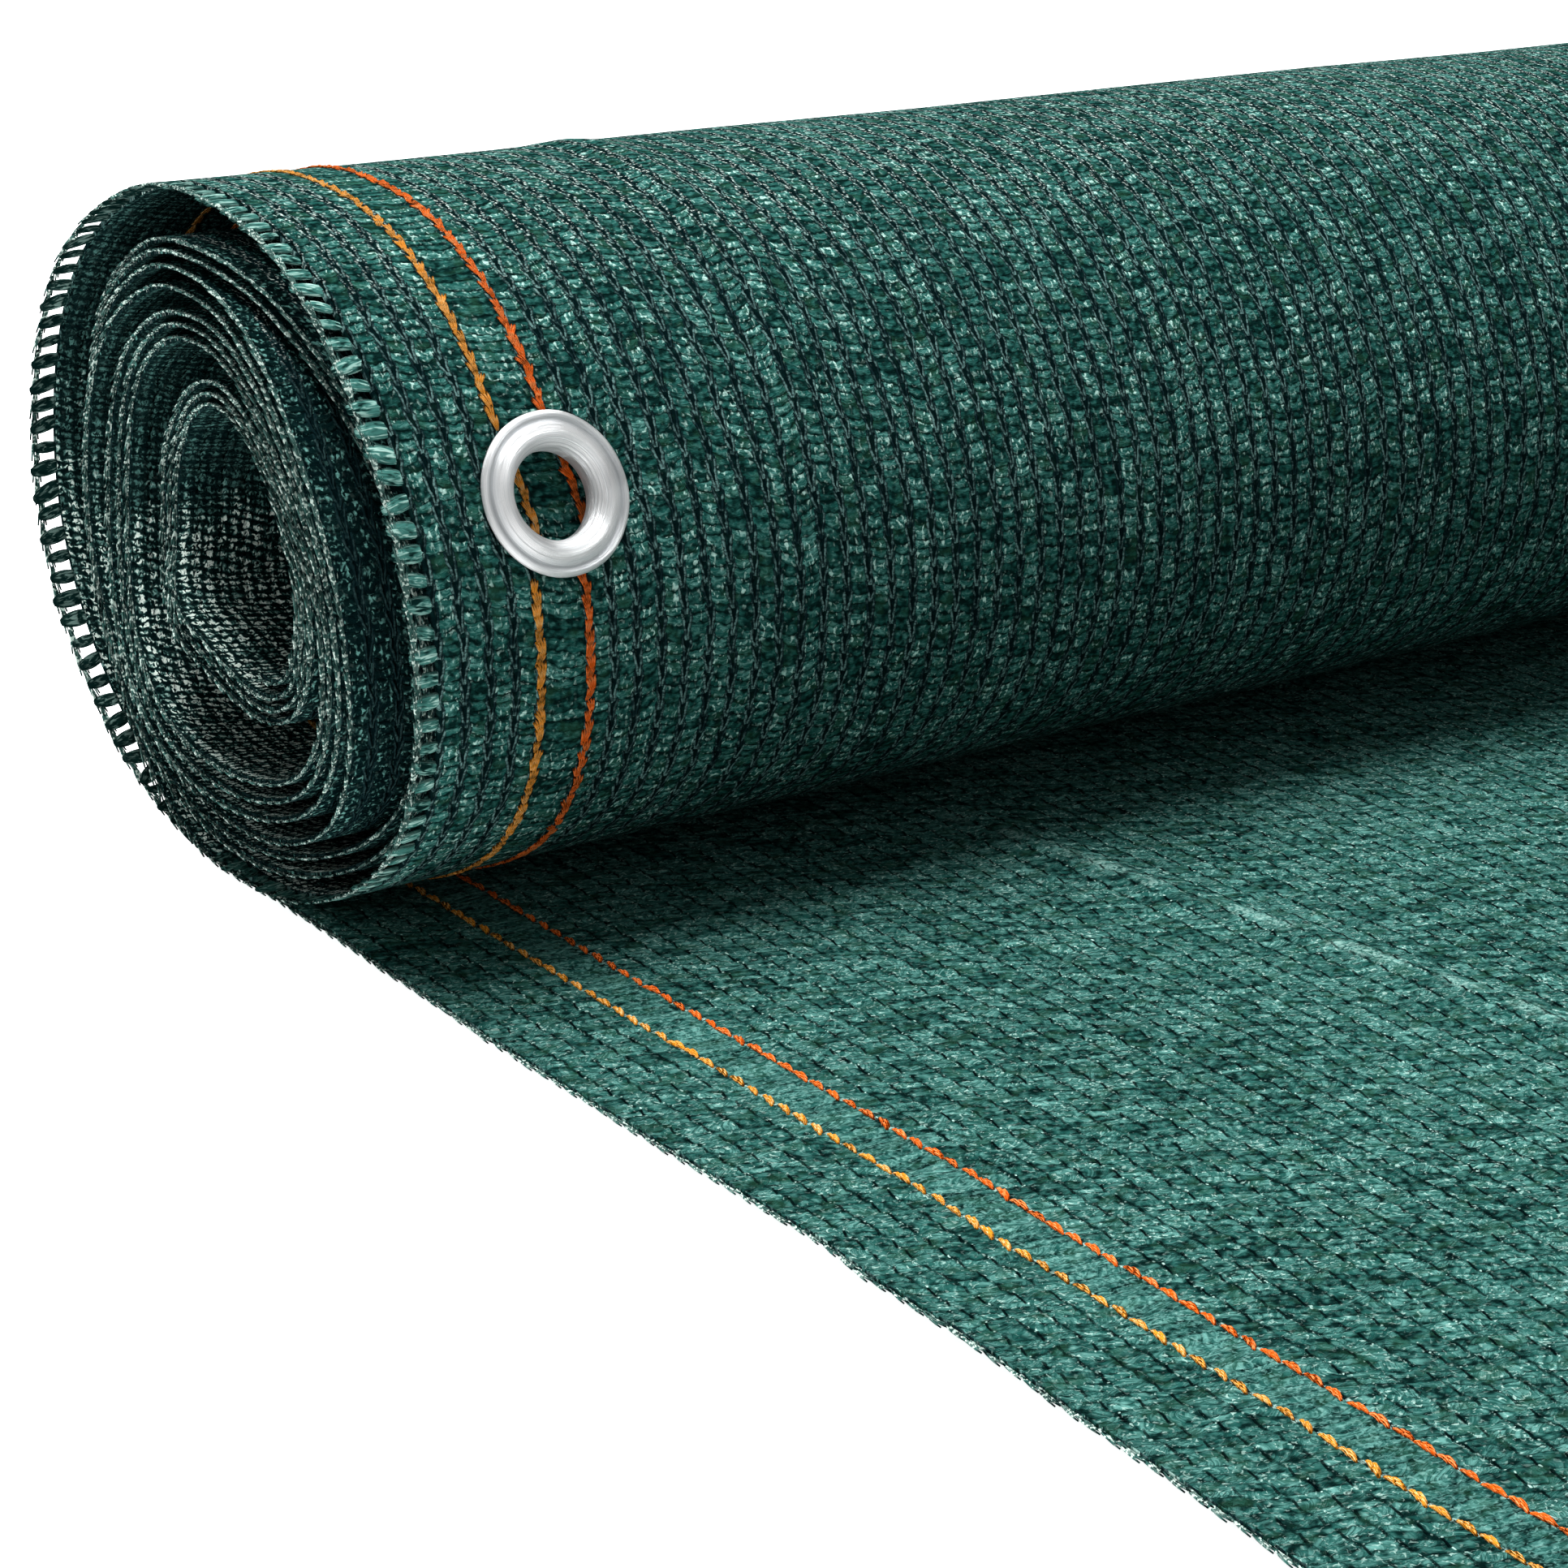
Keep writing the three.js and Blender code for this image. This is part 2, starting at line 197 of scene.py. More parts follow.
# The knit has no sheen of its own, and its sheen is painted. A thread's painted shade has this
# share of its colour, and these are the colours of its pale fibres, painted highlights over random
# fibres, and of the painted shade in the eyelet's bands and groove.
MATTE = {"Specular IOR Level": 0.0}
THREAD_SHADE = 0.07
EDGE_FIBRE_HIGHLIGHT = (0.80, 0.98, 0.90)
AMBER_FIBRE_HIGHLIGHT = (1.0, 0.74, 0.34)
RED_FIBRE_HIGHLIGHT = (1.0, 0.46, 0.17)
METAL_BAND_SHADE = (0.46, 0.50, 0.52)
METAL_GROOVE_SHADE = (0.30, 0.33, 0.35)

# The stage in metres: the floor, and each light's place, aim and size.
FLOOR_HALF = 9.0
FLOOR_HEIGHT = -0.0003
MAIN_LIGHT = ((-0.35, 0.20, 1.40), (0.0, 0.05, 0.0), (0.8, 0.6))
EDGE_LIGHT = ((0.1, 1.1, 1.0), (0.0, 0.1, 0.05), (1.2, 0.5))

NEAR, FAR = -1, 1
END_NAMES = {NEAR: "near", FAR: "far"}
OUTER_FACE, INNER_FACE = 1, -1


# The cloth's place in space.


def round_curve(values, share):
    """A smooth closed curve through evenly spaced values."""
    values = np.asarray(values, float)
    place = np.mod(share, 1.0) * len(values)
    index = np.floor(place).astype(int)
    t = place - index
    a, b, c, d = (values[(index + step) % len(values)] for step in (-1, 0, 1, 2))
    return 0.5 * (
        2 * b + (c - a) * t + (2 * a - 5 * b + 4 * c - d) * t**2 + (3 * b - a - 3 * c + d) * t**3
    )


def run_curve(values, place):
    """A smooth open curve through evenly spaced values that never swings past them."""
    values = np.asarray(values, float).ravel()
    steps = np.diff(values)
    before = np.concatenate([[0.0], steps])
    after = np.concatenate([steps, [0.0]])
    product = before * after
    slopes = np.where(product > 0, 2 * product / np.where(product > 0, before + after, 1), 0)
    index = np.clip(np.floor(place).astype(int), 0, len(values) - 2)
    t = place - index
    return (
        values[index] * (1 + 2 * t) * (1 - t) ** 2
        + slopes[index] * t * (1 - t) ** 2
        + values[index + 1] * t**2 * (3 - 2 * t)
        + slopes[index + 1] * t**2 * (t - 1)
    )


def rounded(values, reach):
    """Values evened out over so many places to each side, with both ends kept."""
    spread = np.arange(-3 * reach, 3 * reach + 1)
    weights = np.exp(-0.5 * (spread / reach) ** 2)
    padded = np.pad(values, 3 * reach, mode="reflect", reflect_type="odd")
    return np.convolve(padded, weights / weights.sum(), mode="valid")


def smooth_step(value, low, high):
    """0 up to low, 1 from high, and a smooth rise between."""
    t = np.clip((value - low) / (high - low), 0, 1)
    return t * t * (3 - 2 * t)


def near_edge(distance, reach):
    """1 at an edge of the cloth, falling evenly to 0 at a distance from it."""
    return np.clip(1 - distance / reach, 0, 1)


def fold(distance, reach):
    """The rounded cross-section of a fold: 1 on its line, and nearly 0 past twice its reach."""
    return np.exp(-((distance / reach) ** 2))


def slow_waves(across, along):
    """Two sets of slow waves that cross and bend each other, in millimetres."""
    waves_across = 0.10 * np.sin(across / 17 + 1.3 * np.sin(along / 41))
    waves_along = 0.08 * np.sin(along / 13 + 2.1 * np.sin(across / 57))
    return waves_across + waves_along


class ClothPath:
    """Where the cloth's outer face runs, from the cut end to the roll's inner end.

    The cloth's own coordinates are across, from the near selvedge, and along, from the cut end.
    """

    QUARTER_STEP = 1 / 60

    def __init__(self):
        last = (len(TURN_SHARES) * 8 - 1) / 2
        quarters = np.arange(0, last + 1e-6, self.QUARTER_STEP)
        angle = np.pi + quarters * np.pi / 2
        share = angle / (2 * np.pi)
        shares = rounded(
            run_curve(TURN_SHARES, 2 * quarters), round(SHARE_BLEND / self.QUARTER_STEP))
        reach = round_curve(OUTLINE_REACH, share) * shares
        lowest = np.floor(quarters / 4 + 0.5) * (CLOTH_SPACE + LAYER_CLEARANCE)
        y = ROLL_CENTRE_Y - reach * np.sin(angle)
        z = np.maximum(ROLL_CENTRE_Z + reach * np.cos(angle), lowest)
        recess = run_curve(TURN_SETS, quarters)
        edge = recess + round_curve(OUTLINE_EDGE, share)

        flat_y = np.arange(CUT_END_Y, y[0] - 0.5, 1.0)
        self.quarter = np.concatenate([np.full(len(flat_y), -1.0), quarters])
        self.y = np.concatenate([flat_y, y])
        self.z = np.concatenate([np.zeros(len(flat_y)), z])
        self.edge = np.concatenate([np.zeros(len(flat_y)), edge])
        self.recess = np.concatenate([np.zeros(len(flat_y)), recess])
        spans = np.hypot(np.diff(self.y), np.diff(self.z))
        self.along = np.concatenate([[0.0], np.cumsum(spans)])
        self.roll_start = self.along[len(flat_y)]
        self.length = self.along[-1]

        way_y = np.gradient(self.y, self.along)
        way_z = np.gradient(self.z, self.along)
        size = np.hypot(way_y, way_z)
        self.in_y = -way_z / size
        self.in_z = way_y / size

        self.eyelet_along = self.along_at(EYELET_QUARTER)
        seat = [np.interp(self.eyelet_along, self.along, row) for row in (
            self.y, self.z, self.in_y, self.in_z, self.edge)]
        self.seat_y, self.seat_z, self.seat_in_y, self.seat_in_z, self.seat_edge = seat
        self.seat_depth = FLATTENED_RADIUS**2 / (2 * ROLL_CENTRE_Z)

    def along_at(self, quarter):
        """How far along the cloth a winding place lies."""
        wound = self.quarter >= 0
        return float(np.interp(quarter, self.quarter[wound], self.along[wound]))

    def shade(self, along, start, end, recessed=0.0):
        """How far a part lies in the roll's own shade, from 0 to 1.

        It grows between two places of the winding, in quarters of a turn, and recessed is how
        much a turn's edge has to be set back for it.
        """
        quarter = np.interp(along, self.along, self.quarter)
        recess = np.interp(along, self.along, self.recess)
        set_back = 1 - recessed + recessed * smooth_step(recess, -2.0, 2.5)
        return smooth_step(quarter, start, end) * set_back

    def selvedge_x(self, side):
        return NEAR_SELVEDGE_X if side == NEAR else NEAR_SELVEDGE_X + WIDTH

    def eyelet_x(self, side):
        return self.selvedge_x(side) + self.seat_edge - side * EYELET_FROM_SELVEDGE

    def wander(self, across, y, in_roll):
        """How far the cloth shifts along X where its selvedges wander, on the flat part."""
        places, shifts = np.array(SELVEDGE_WANDER).T
        near = np.interp(y, places, shifts) * near_edge(across, WANDER_FADE)
        far = FAR_WANDER * np.sin(y / FAR_WANDER_WAVE) * near_edge(WIDTH - across, WANDER_FADE)
        return (near - far) * (1 - in_roll)

    def drawn_in(self, across, y, z, x):
        """How far the cloth is drawn in under an eyelet, so that the metal lies flat on it."""
        off_y, off_z = y - self.seat_y, z - self.seat_z
        below = off_y * self.seat_in_y + off_z * self.seat_in_z
        slide = np.abs(off_y * self.seat_in_z - off_z * self.seat_in_y)
        depth = np.zeros_like(x)
        for side in (NEAR, FAR):
            away = np.hypot(slide, x - self.eyelet_x(side))
            hold = 1 - smooth_step(away, FLATTENED_RADIUS, FLATTENED_RADIUS + FLATTENED_BLEND)
            depth += np.maximum(self.seat_depth - below, 0) * hold
        return depth

    def unevenness(self, across, along, y, quarter):
        """Small rises and dips of the cloth, in millimetres into the roll."""
        on_flat = smooth_step(-quarter, 0.5, 1.0)
        ripple = slow_waves(across, along)
        edge_lift = EDGE_LIFT * (
            (1 + np.sin(along / 19 + 1.1)) * near_edge(across, EDGE_LIFT_REACH)
            + (1 + np.sin(along / 23)) * near_edge(WIDTH - across, EDGE_LIFT_REACH))
        crease_y, crease_across = np.array(FLAT_CREASE).T
        crease_place = np.interp(y, crease_y, crease_across)
        fade = smooth_step(y, *CREASE_COMES) * (1 - smooth_step(y, *CREASE_GOES))
        crease = CREASE_HEIGHT * fold(across - crease_place, CREASE_REACH) * fade
        flat = FLAT_LIFT + ripple + edge_lift + crease
        girdle = smooth_step(quarter, *RIDGE_COMES) * (1 - smooth_step(quarter, *RIDGE_GOES))
        ridge = RIDGE_HEIGHT * fold(across - RIDGE_ACROSS, RIDGE_REACH) * girdle
        wound = ROLL_RIPPLE * ripple - ridge
        return flat * on_flat + wound * (1 - on_flat)

    def place(self, across, along, depth):
        """Points in millimetres at cloth coordinates, that deep from the outer face."""
        across = np.asarray(across, float)
        along = np.asarray(along, float)
        y, z, in_y, in_z, edge, quarter = (
            np.interp(along, self.along, row)
            for row in (self.y, self.z, self.in_y, self.in_z, self.edge, self.quarter)
        )
        size = np.hypot(in_y, in_z)
        in_y, in_z = in_y / size, in_z / size
        in_roll = smooth_step(along, self.roll_start, self.roll_start + 20)
        x = NEAR_SELVEDGE_X + edge + across + self.wander(across, y, in_roll)
        first_turn = np.abs(quarter - EYELET_QUARTER) < FLATTENED_QUARTERS
        drawn = np.where(first_turn, self.drawn_in(across, y, z, x), 0)
        total = depth + self.unevenness(across, along, y, quarter) * (1 - (drawn > 0)) + drawn
        return np.stack([x, y + in_y * total, z + in_z * total], axis=-1)

    def ways(self, across, along, depth, side_out):
        """At cloth coordinates: the point, the way along the cloth and the way out of a face.

        side_out is OUTER_FACE or INNER_FACE.
        """
        step = 0.6
        here = self.place(across, along, depth)
        ahead = self.place(across, along + step, depth) - self.place(across, along - step, depth)
        beside = self.place(across + step, along, depth) - self.place(across - step, along, depth)
        ahead /= np.linalg.norm(ahead, axis=-1, keepdims=True)
        out = np.cross(ahead, beside)
        out /= np.linalg.norm(out, axis=-1, keepdims=True)
        return here, ahead, out * side_out


PATH = ClothPath()


# Sizes and colours.


class NettingSizes(PropertyGroup):
    """Sizes of the knitted cloth that a maker would set on the machine."""

    course: FloatProperty(
        name="Course", description="Length of one stitch along the cloth",
        default=3.0 * MM, min=1.5 * MM, max=8 * MM, subtype="DISTANCE", unit="LENGTH")
    wales: IntProperty(
        name="Wales", description="Stitch columns across the cloth", default=214, min=40, max=600)
    cloth_thickness: FloatProperty(
        name="Cloth thickness", description="Thickness of the knitted body",
        default=0.7 * MM, min=0.3 * MM, max=1.0 * MM, subtype="DISTANCE", unit="LENGTH")
    ladder_width: FloatProperty(
        name="Ladder width", description="Width of the open lane inside each selvedge",
        default=3.4 * MM, min=1 * MM, max=8 * MM, subtype="DISTANCE", unit="LENGTH")
    stripe_thread: FloatProperty(
        name="Stripe thread", description="Radius of the coloured marking thread",
        default=0.34 * MM, min=0.1 * MM, max=0.8 * MM, subtype="DISTANCE", unit="LENGTH")
    edge_thread: FloatProperty(
        name="Edge thread", description="Radius of the chain thread along each selvedge",
        default=0.24 * MM, min=0.1 * MM, max=0.8 * MM, subtype="DISTANCE", unit="LENGTH")
    amber_from_selvedge: IntProperty(
        name="Amber wale", description="Wale that the amber marking thread follows",
        default=5, min=1, max=40)
    red_from_selvedge: IntProperty(
        name="Red wale", description="Wale that the orange-red marking thread follows",
        default=7, min=1, max=40)


def paint(name, description, default):
    """A colour that a user can change."""
    return FloatVectorProperty(
        name=name, description=description, subtype="COLOR", size=3, min=0, max=1,
        default=default)


class NettingColours(PropertyGroup):
    """Colours of the tapes, threads and eyelets."""

    tape_shadow: paint("Tape shadow", "Tape deep between the stitches", (0.002, 0.012, 0.011))
    tape: paint("Tape", "Body colour of the green tape", (0.010, 0.070, 0.060))
    tape_soft: paint("Soft tape", "Tape that lies flat on the inner face", (0.042, 0.150, 0.130))
    tape_light: paint("Tape light", "Tape fibres that catch the light", (0.130, 0.330, 0.295))
    tape_glint: paint("Tape glint", "Brightest folds of tape", (0.46, 0.70, 0.63))
    tape_olive: paint("Olive tape", "Warmer green of tape that lies thin", (0.016, 0.062, 0.034))
    chain: paint("Chain thread", "Dark thread of the stitch columns", (0.004, 0.014, 0.016))
    # The chain thread light is a painted highlight on the top of the thread.
    chain_highlight: paint("Chain thread light", "Top of the chain thread", (0.105, 0.200, 0.190))
    chain_shadow: paint("Chain hollow", "Shadow inside and beside a stitch", (0.001, 0.005, 0.006))
    # A stitch bead is a painted highlight.
    bead: paint("Stitch bead", "Top of a stitch that catches the light", (0.86, 0.98, 0.90))
    amber: paint("Amber thread", "Marking thread nearest the selvedge", (0.95, 0.335, 0.022))
    red: paint("Orange-red thread", "Second marking thread", (0.97, 0.140, 0.009))
    metal: paint("Eyelet metal", "Bright pressed metal", (0.86, 0.87, 0.875))


class StageSettings(PropertyGroup):
    """Floor, lights and camera."""

    floor_colour: paint("Floor", "Plain pale floor", (0.93, 0.93, 0.93))
    floor_glow: FloatProperty(
        name="Floor glow", description="How far the floor is lit from below",
        default=0.9, min=0, max=2)
    sky: FloatProperty(
        name="Surround light", description="Strength of the even white surround",
        default=0.36, min=0, max=5)
    key: FloatProperty(
        name="Main light", description="Power of the large soft light overhead",
        default=34, min=0, max=500, unit="POWER")
    glow: FloatProperty(
        name="Edge light", description="Power of the light beyond the roll",
        default=9, min=0, max=500, unit="POWER")


# Node trees as formulas.


class Term:
    """A socket of a node tree that can be written into a formula."""

    def __init__(self, graph, socket):
        self.graph = graph
        self.socket = socket

    def __add__(self, other):
        return self.graph.maths("ADD", self, other)

    __radd__ = __add__

    def __sub__(self, other):
        return self.graph.maths("SUBTRACT", self, other)

    def __rsub__(self, other):
        return self.graph.maths("SUBTRACT", other, self)

    def __mul__(self, other):
        return self.graph.maths("MULTIPLY", self, other)

    __rmul__ = __mul__

    def __truediv__(self, other):
        return self.graph.maths("DIVIDE", self, other)

    def __pow__(self, other):
        return self.graph.maths("POWER", self, other)

    def __abs__(self):
        return self.graph.maths("ABSOLUTE", self)

    def __neg__(self):
        return self.graph.maths("MULTIPLY", self, -1.0)

    def floor(self):
        return self.graph.maths("FLOOR", self)

    def fraction(self):
        return self.graph.maths("FRACT", self)

    def least(self, other):
        return self.graph.maths("MINIMUM", self, other)

    def greatest(self, other):
        return self.graph.maths("MAXIMUM", self, other)

    def over(self, limit):
        return self.graph.maths("GREATER_THAN", self, limit)

    def under(self, limit):
        return self.graph.maths("LESS_THAN", self, limit)

    def positive(self):
        return self.graph.maths("MAXIMUM", self, 0.0)

    def root(self):
        return self.graph.maths("SQRT", self)

    def clamped(self):
        return self.graph.node(
            "ShaderNodeClamp", {}, {"Value": self, "Min": 0.0, "Max": 1.0})["Result"]

    def rise(self, low, high):
        """0 up to low, 1 from high, and a smooth rise between."""
        return self.graph.node(
            "ShaderNodeMapRange", {"interpolation_type": "SMOOTHSTEP"},
            {"Value": self, "From Min": low, "From Max": high})["Result"]


class Graph:
    """A node tree that is being built, shader or geometry."""

    def __init__(self, tree):
        self.tree = tree
        self.made = 0

    def node(self, kind, settings=None, sockets=None):
        """Adds a node: its settings first, then a value or link for each named socket."""
        made = self.tree.nodes.new(kind)
        made.location = (210 * (self.made % 20), -280 * (self.made // 20))
        self.made += 1
        for name, value in (settings or {}).items():
            setattr(made, name, value)
        for name, value in (sockets or {}).items():
            self.feed(made.inputs[name], value)
        return Outputs(self, made)

    def feed(self, socket, value):
        """Links a Term or Outputs to a socket, or sets the socket's own value."""
        if isinstance(value, (list, tuple)) and any(isinstance(v, (Term, Outputs)) for v in value):
            for one in value:
                self.feed(socket, one)
        elif isinstance(value, Outputs):
            self.tree.links.new(value.first(), socket)
        elif isinstance(value, Term):
            self.tree.links.new(value.socket, socket)
        elif socket.type == "RGBA" and len(value) == 3:
            socket.default_value = (*value, 1.0)
        else:
            socket.default_value = value

    def maths(self, operation, *values):
        sockets = dict(enumerate(values))
        return self.node("ShaderNodeMath", {"operation": operation}, sockets)["Value"]

    def vector(self, x, y, z=0.0):
        return self.node("ShaderNodeCombineXYZ", {}, {"X": x, "Y": y, "Z": z})["Vector"]

    def split(self, vector):
        parts = self.node("ShaderNodeSeparateXYZ", {}, {"Vector": vector})
        return parts["X"], parts["Y"], parts["Z"]

    def noise(self, vector, scale=1.0, detail=0.0, roughness=0.5, distortion=0.0, flat=True):
        return self.node(
            "ShaderNodeTexNoise", {"noise_dimensions": "2D" if flat else "3D"},
            {"Vector": vector, "Scale": scale, "Detail": detail, "Roughness": roughness,
             "Distortion": distortion})["Fac"]

    def chance(self, x, y, seed=0.0):
        """An even random number for each whole cell."""
        return self.node(
            "ShaderNodeTexWhiteNoise", {"noise_dimensions": "3D"},
            {"Vector": self.vector(x, y, seed)})["Value"]

    def uneven(self, vector, detail=0.0):
        """Three unlike noises at once, each about -0.5 to 0.5."""
        made = self.node(
            "ShaderNodeTexNoise", {"noise_dimensions": "2D"},
            {"Vector": vector, "Scale": 1.0, "Detail": detail})
        return [part - 0.5 for part in self.split(made["Color"])]

    def blend(self, factor, a, b):
        """Mixes two colours: the first at factor 0 and the second at 1."""
        return self.node(
            "ShaderNodeMix", {"data_type": "RGBA", "blend_type": "MIX", "clamp_factor": True},
            {0: factor, 6: a, 7: b})[2]

    def attribute(self, name):
        return self.node("ShaderNodeAttribute", {"attribute_name": name})["Fac"]


class Outputs:
    """The output sockets of one node, by name or number."""

    def __init__(self, graph, made):
        self.graph = graph
        self.made = made

    def __getitem__(self, name):
        return Term(self.graph, self.made.outputs[name])

    def first(self):
        return next(out for out in self.made.outputs if out.enabled)


def new_material(name):
    """A material with an empty tree, and its graph."""
    material = bpy.data.materials.new(name)
    material.use_nodes = True
    material.node_tree.nodes.clear()
    return material, Graph(material.node_tree)


def finish_surface(graph, colour, roughness, height=None, bump=0.0, constants=None, metallic=0.0):
    """The shader, the bump in metres, and the material's output."""
    sockets = {"Base Color": colour, "Roughness": roughness, "Metallic": metallic}
    if height is not None:
        sockets["Normal"] = graph.node(
            "ShaderNodeBump", {}, {"Strength": 1.0, "Distance": bump, "Height": height})["Normal"]
    sockets.update(constants or {})
    shader = graph.node("ShaderNodeBsdfPrincipled", {}, sockets)["BSDF"]
    graph.node("ShaderNodeOutputMaterial", {}, {"Surface": shader})


# Materials of the cloth.


def knit_grid(graph, sizes, sway):
    """Wale and course numbers over the cloth, counted from the nearer selvedge.

    sway is how far the wales wander, in wales. Also gives two sets of three uneven values, some
    stitches wide and a part of a stitch wide, for whatever else should vary.
    """
    uv = graph.node("ShaderNodeUVMap", {"uv_map": "Cloth"})["UV"]
    u, v, _ = graph.split(uv)
    from_edge = u.least(WIDTH * MM - u)
    pitch = WIDTH * MM / sizes.wales
    slow = graph.noise(graph.vector(u, v), scale=9.0, detail=1.0) - 0.5
    quick = graph.uneven(graph.vector(u * 110.0, v * 280.0))
    fuzz = graph.uneven(graph.vector(u * 900.0, v * 1100.0), detail=1.0)
    wale = from_edge / pitch + quick[0] * sway + fuzz[0] * sway * 0.5
    course = v / sizes.course + slow * 2.4 + quick[1] * 0.5 + fuzz[1] * 0.22
    return u, v, wale, course, quick, fuzz


def wound_past(v, first, last):
    """0 before one place of the winding and 1 after another, for a cloth material."""
    return v.rise(PATH.along_at(first) * MM, PATH.along_at(last) * MM)


def crease_line(v):
    """Where the flat part's crease runs across the cloth, and how far it shows."""
    (first_y, first_across), (last_y, last_across) = FLAT_CREASE[0], FLAT_CREASE[-1]
    slope = (last_across - first_across) / (last_y - first_y)
    middle = (v - (first_y - CUT_END_Y) * MM) * slope + first_across * MM
    start, end = (first_y - CUT_END_Y) * MM, (last_y - CUT_END_Y) * MM
    return middle, v.rise(start - 0.06, start) * (1.0 - v.rise(end, end + 0.03))


def olive_patches(graph, u, v):
    """How far the tape leans towards a warmer green, in soft patches."""
    patches = graph.noise(graph.vector(u * 210.0, v * 330.0), detail=2.0, roughness=0.6)
    return patches.rise(0.52, 0.72) * 0.45


def tape_cells(sizes, wale):
    """The gap between two wales: its number, and the place across it from 0 to 1.

    Also gives 1 in the wide lane between the two marking threads, where a wale is left out.
    """
    amber, red = sizes.amber_from_selvedge, sizes.red_from_selvedge
    lane = wale.over(amber) * wale.under(red)
    number = wale.floor()
    narrow = wale - number
    wide = (wale - float(amber)) / (red - amber)
    place = narrow + (wide - narrow) * lane
    number = number + (float(amber) - number) * lane
    return number, place, lane


def stitch_columns(graph, sizes, wale, course, shift, stagger=0.0):
    """The nearest stitch column: its number, whether it is there, and its run of stitches.

    The column beside the amber thread is left out. shift is how unevenly the columns start, and
    stagger how far every other one is set off. Also gives a random number for each stitch.
    """
    column = (wale + 0.5).floor()
    has_column = 1.0 - abs(column - (sizes.amber_from_selvedge + 1.0)).under(0.25)
    stitches = course + (column * 0.5).fraction() * stagger
    stitches = stitches + graph.chance(column, 2.0, 3.0) * shift
    luck = graph.chance(column, stitches.floor(), 6.0)
    return column, has_column, stitches, luck


def rounded_puff(across, along, flatness, fullness, squareness):
    """A puff of tape over its cell, both places from 0 to 1: its crown and its sides."""
    crown = (1.0 - (along * 2.0 - 1.0) ** flatness).positive()
    sides = (1.0 - (abs(across * 2.0 - 1.0) / fullness) ** squareness).positive()
    return crown, sides


def chain_face_material(sizes, colours):
    """The face with the dark stitch columns and the shiny tapes that bridge them, its hollows
    painted in shade and its shine painted as highlights.
    """
    material, graph = new_material("Netting Chain Face")
    u, v, wale, course, quick, fuzz = knit_grid(graph, sizes, 0.20)
    cell, place, _ = tape_cells(sizes, wale)

    # The stitch columns: nested stitches whose two legs meet towards the inner end.
    column, has_column, stitches, stitch_luck = stitch_columns(graph, sizes, wale, course, 0.35)
    aside = abs(wale - column)
    stitch = stitches.fraction()
    spread = (1.0 - stitch) * 0.15 + 0.03
    leg = (1.0 - ((aside - spread) / 0.075) ** 2.0).positive().root()
    tail = (1.0 - ((aside - spread - 0.12) / 0.055) ** 2.0).positive().root()
    tail = tail * stitch.rise(0.5, 1.0)
    chain = leg.greatest(tail * 0.7) * has_column
    hollow = (1.0 - aside.rise(0.06, 0.15)) * has_column * 0.82

    # The tapes: two puffs to a course, drawn in at both sides by the stitches.
    way = graph.chance(cell, 5.0, 1.0)
    lean = (place - 0.5) * (way - 0.5) * 1.4
    pull = (place - 0.5) * (place - 0.5) * 1.3
    puffs = course * 2.0 + way * 2.0 + lean + pull + quick[2] * 0.7
    luck = graph.chance(cell, puffs.floor(), 9.0)
    crown, sides = rounded_puff(place, puffs.fraction(), 2.0, 0.93, 5.0)
    crown = crown ** 0.7
    puff = crown * sides * (luck * 0.55 + 0.45)
    fibres = graph.noise(
        graph.vector(u * 820.0 + luck * 7.0, v * 2300.0 + pull * 3.5 + lean * 2.0),
        detail=2.0, roughness=0.66, distortion=0.5)
    flakes = graph.noise(
        graph.vector(u * 1500.0, v * 2900.0 + lean * 3.0), detail=1.0, roughness=0.6)

    tape_height = puff * (1.0 - hollow) * 0.7 + fibres * 0.5 * sides + flakes * 0.2
    height = (chain * 0.95 + hollow * 0.12).greatest(tape_height)

    # Colour: near-black painted shade in the hollows and where the puffs fall away, body colour on
    # the puffs, and pale fibres and glints painted as highlights where they crown. In the margin
    # past the outer wrap the cloth is painted in shade, and only painted specks of light on tape
    # show.
    big = graph.noise(graph.vector(u, v), scale=24.0, detail=2.0) - 0.5
    strands = fibres.rise(0.40, 0.66)
    in_margin = 1.0 - u.least(WIDTH * MM - u).rise(12 * MM, 17 * MM)
    shade = wound_past(v, 3.95, 4.1) * in_margin
    amount = puff * 0.8 + fuzz[2] * 1.5 + big * 0.2 + quick[2] * 0.25 + (luck - 0.5) * 0.2 + 0.12
    body = graph.blend(amount.rise(0.05, 0.85), colours.tape_shadow, colours.tape)
    lit = strands * amount.rise(0.2, 1.1) * (luck * 0.4 + 0.3)
    body = graph.blend(lit.clamped(), body, colours.tape_light)
    body = graph.blend(olive_patches(graph, u, v), body, colours.tape_olive)
    flecks = graph.noise(
        graph.vector(u * 1900.0 + lean * 2.0, v * 1250.0 + luck * 5.0), detail=1.0, roughness=0.5,
        distortion=0.4)
    cluster = (luck * 0.6 + quick[0] * 0.6 + fuzz[1] * 0.9).rise(0.0, 0.7)
    glint = flecks.rise(0.56, 0.72) * sides * cluster * crown.rise(0.1, 0.6) * 0.8
    body = graph.blend(glint.clamped(), body, colours.tape_glint)
    specks = flecks.rise(0.50, 0.66) * fuzz[2].rise(-0.10, 0.20)
    margin_shade = graph.blend(specks * 0.8, colours.chain_shadow, colours.tape_light)
    body = graph.blend(shade * 0.94, body, margin_shade)
    # Painted highlight along the top of the chain thread over random tone, painted in shade in the
    # margin.
    thread_tone_and_light = chain.rise(0.5, 1.0) * (fuzz[2] * 2.6 + fuzz[0] * 2.0 + stitch_luck * 0.9 + 0.22)
    thread_tone_and_light = thread_tone_and_light * (flakes.rise(0.36, 0.60) * 0.8 + 0.2) * (1.0 - shade * 0.85)
    thread = graph.blend(thread_tone_and_light.clamped(), colours.chain, colours.chain_highlight)
